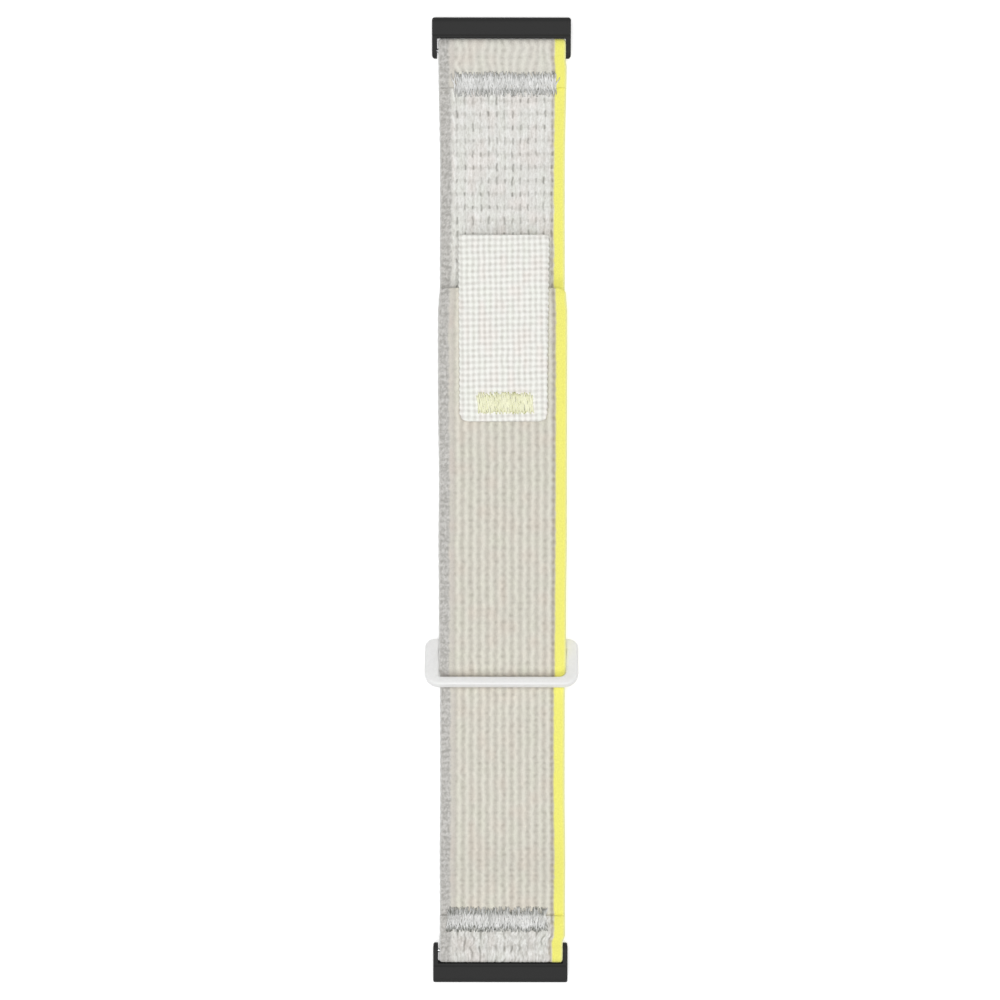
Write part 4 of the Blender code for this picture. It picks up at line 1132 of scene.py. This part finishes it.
def hook_backing():
    """The hook tape's backing, a thin plate with eased edges that bends with the free end."""
    half, y_high, top = HOOKS_HIGH
    y_low, bottom = HOOKS_LOW[1], top - HOOK_BACKING
    outline = rounded_outline(half, (y_low, y_high), [BACKING_CORNER] * 4, 6, 12)
    center = np.array((0.0, (y_low + y_high) / 2))
    levels = (top, top - BACKING_EDGE, bottom + BACKING_EDGE, bottom)
    rings = []
    for share, z in zip((BACKING_EASE, 1.0, 1.0, BACKING_EASE), levels):
        plane = center + (outline - center) * share
        rings.append(np.column_stack((plane, z - patch_droop(plane[:, 1]))))
    return wear(new_mesh("hook_tape_backing", rings, strip_quads(len(rings), len(outline))), hook_plastic)


def hook_path(x, y, way):
    """One hook: a stem down from the backing, and a head bent over along the strap."""
    t = np.linspace(0, 1, HOOK_STEPS)
    angle = np.clip((t - HOOK_STEM_SHARE) / (1 - HOOK_STEM_SHARE), 0, 1) * HOOK_TURN
    base = HOOKS_HIGH[2] - HOOK_BACKING + HOOK_ROOT - patch_droop(y)
    lowest = max(HOOKS_LOW[2] + HOOK_RISE - patch_droop(y), HOOK_TIPS)
    stem = base - (base - lowest - HOOK_BEND - HOOK_HEAD) * np.clip(t / HOOK_STEM_SHARE, 0, 1)
    yy = y + way * HOOK_BEND * (1 - np.cos(angle))
    return np.stack((x + 0 * t, yy, stem - HOOK_BEND * np.sin(angle)), axis=1)


def build_hooks():
    """Hook tape under the free end: a backing and rows of small bent hooks."""
    rng = np.random.default_rng(71)
    half, y_high = HOOKS_HIGH[:2]
    paths = []
    for row, y in enumerate(np.arange(HOOKS_LOW[1] + HOOK_INSET, y_high - 0.4, HOOK_ROWS)):
        for x in np.arange(-half + HOOK_INSET, half - 0.3, HOOK_COLUMNS):
            paths.append(hook_path(x + rng.normal(0, 0.03), y, 1 if row % 2 else -1))
    vertices, quads = tubes(np.array(paths), np.linspace(*HOOK_RADII, HOOK_STEPS), 5)
    plate = hook_backing()
    hooks = wear(new_mesh("hook_tape_hooks", vertices, quads), hook_plastic)
    attach("free_end", "hook_tape", "hook_patch", plate, hooks)


def dress_adapters():
    """Softens the adapter frames' edges, and gives them and their metal pieces their finishes."""
    for name, node in frame["nodes"].items():
        if name.endswith("adapter_frame"):
            wear(node, coating)
            soft = node.modifiers.new("soft_edges", "BEVEL")
            soft.width = ADAPTER_SOFTNESS * MM
            soft.segments = 3
            soft.limit_method = "ANGLE"
            soft.angle_limit = math.radians(40)
        elif "_pin_" in name or "_catch" in name:
            wear(node, steel)


def background_rays(tree):
    """1 for rays that show the background: from the camera and through glass."""
    rays = tree.nodes.new("ShaderNodeLightPath").outputs
    return math_node(tree, "MAXIMUM", rays["Is Camera Ray"], rays["Is Transmission Ray"])


def build_stage():
    """A pale round floor that keeps soft shadows and ends before the light on it falls off."""
    mesh = bpy.data.meshes.new("floor")
    turns = np.linspace(0, 2 * np.pi, FLOOR_SIDES, endpoint=False)
    radius = FLOOR_RADIUS * MM
    rim = [(radius * np.cos(turn), radius * np.sin(turn), 0) for turn in turns]
    mesh.from_pydata(rim, [], [tuple(range(FLOOR_SIDES))])
    floor = bpy.data.objects.new("floor", mesh)
    bpy.context.scene.collection.objects.link(floor)
    material, tree, shader = node_material("pale_floor")
    base, more = FLOOR_GLOW
    inputs = {
        "Base Color": FLOOR_WHITE,
        "Roughness": 0.9,
        "Specular IOR Level": 0.1,
        "Emission Color": WHITE,
        "Emission Strength": math_node(tree, "MULTIPLY_ADD", background_rays(tree), more, base),
    }
    fill(tree, shader, inputs)
    mesh.materials.append(material)


def build_light():
    world = bpy.data.worlds.new("studio")
    bpy.context.scene.world = world
    world.use_nodes = True
    tree = world.node_tree
    rest = 1 - WORLD_STRENGTH
    strength = math_node(tree, "MULTIPLY_ADD", background_rays(tree), rest, WORLD_STRENGTH)
    fill(tree, tree.nodes["Background"], {"Color": WHITE, "Strength": strength})
    for name, (place, power, size) in LAMPS.items():
        lamp = bpy.data.lights.new(name, "AREA")
        lamp.energy = power
        lamp.size = size * MM
        obj = bpy.data.objects.new(name, lamp)
        obj.location = Vector(place) * MM
        obj.rotation_euler = (-Vector(place)).to_track_quat("-Z", "Y").to_euler()
        bpy.context.scene.collection.objects.link(obj)


def build_camera():
    """The photograph's view: from above, leaning a little back from the upper adapter."""
    camera = bpy.data.cameras.new("camera")
    camera.sensor_width = SENSOR_WIDTH
    camera.lens = PIXELS_PER_MM * CAMERA_DISTANCE * SENSOR_WIDTH / FRAME_PIXELS
    camera.clip_start, camera.clip_end = CAMERA_REACH[0] * MM, CAMERA_REACH[1] * MM
    camera.shift_x = -(MIDDLE_COLUMN - FRAME_PIXELS / 2) / FRAME_PIXELS
    camera.shift_y = (MIDDLE_ROW - FRAME_PIXELS / 2) / FRAME_PIXELS
    obj = bpy.data.objects.new("camera", camera)
    obj.location = Vector((0, math.sin(CAMERA_TILT), math.cos(CAMERA_TILT))) * CAMERA_DISTANCE * MM
    turn = Matrix.Rotation(-CAMERA_TILT, 3, "X") @ Matrix.Rotation(CAMERA_ROLL, 3, "Z")
    obj.rotation_euler = turn.to_euler()
    bpy.context.scene.collection.objects.link(obj)
    bpy.context.scene.camera = obj


# Each seam: name, body, node, bar, way out, ends across, loose threads, shades at its ends, seed
SEAMS = (
    ("upper_satin_seam", "upper_strap", "upper_fold_stitching", PIN_Y, 1, (-6.75, 8.5), 5, (0.55, 0.33), 81),
    ("ring_satin_seam", "upper_strap", "ring_fold_stitching", RING_Y, -1, (-7.7, 7.8), 0, (0.55, 0.4), 82),
    ("lower_satin_seam", "lower_strap", "lower_fold_stitching", -PIN_Y, -1, (-8.15, 7.45), 3, (1.1, 0.5), 83),
)

build_upper_strap()
build_lower_strap()
for seam in SEAMS:
    build_seam(*seam)
build_tab()
build_bartack()
build_ring()
build_hooks()
dress_adapters()
build_stage()
build_light()
build_camera()

bpy.context.scene.view_settings.view_transform = "Standard"
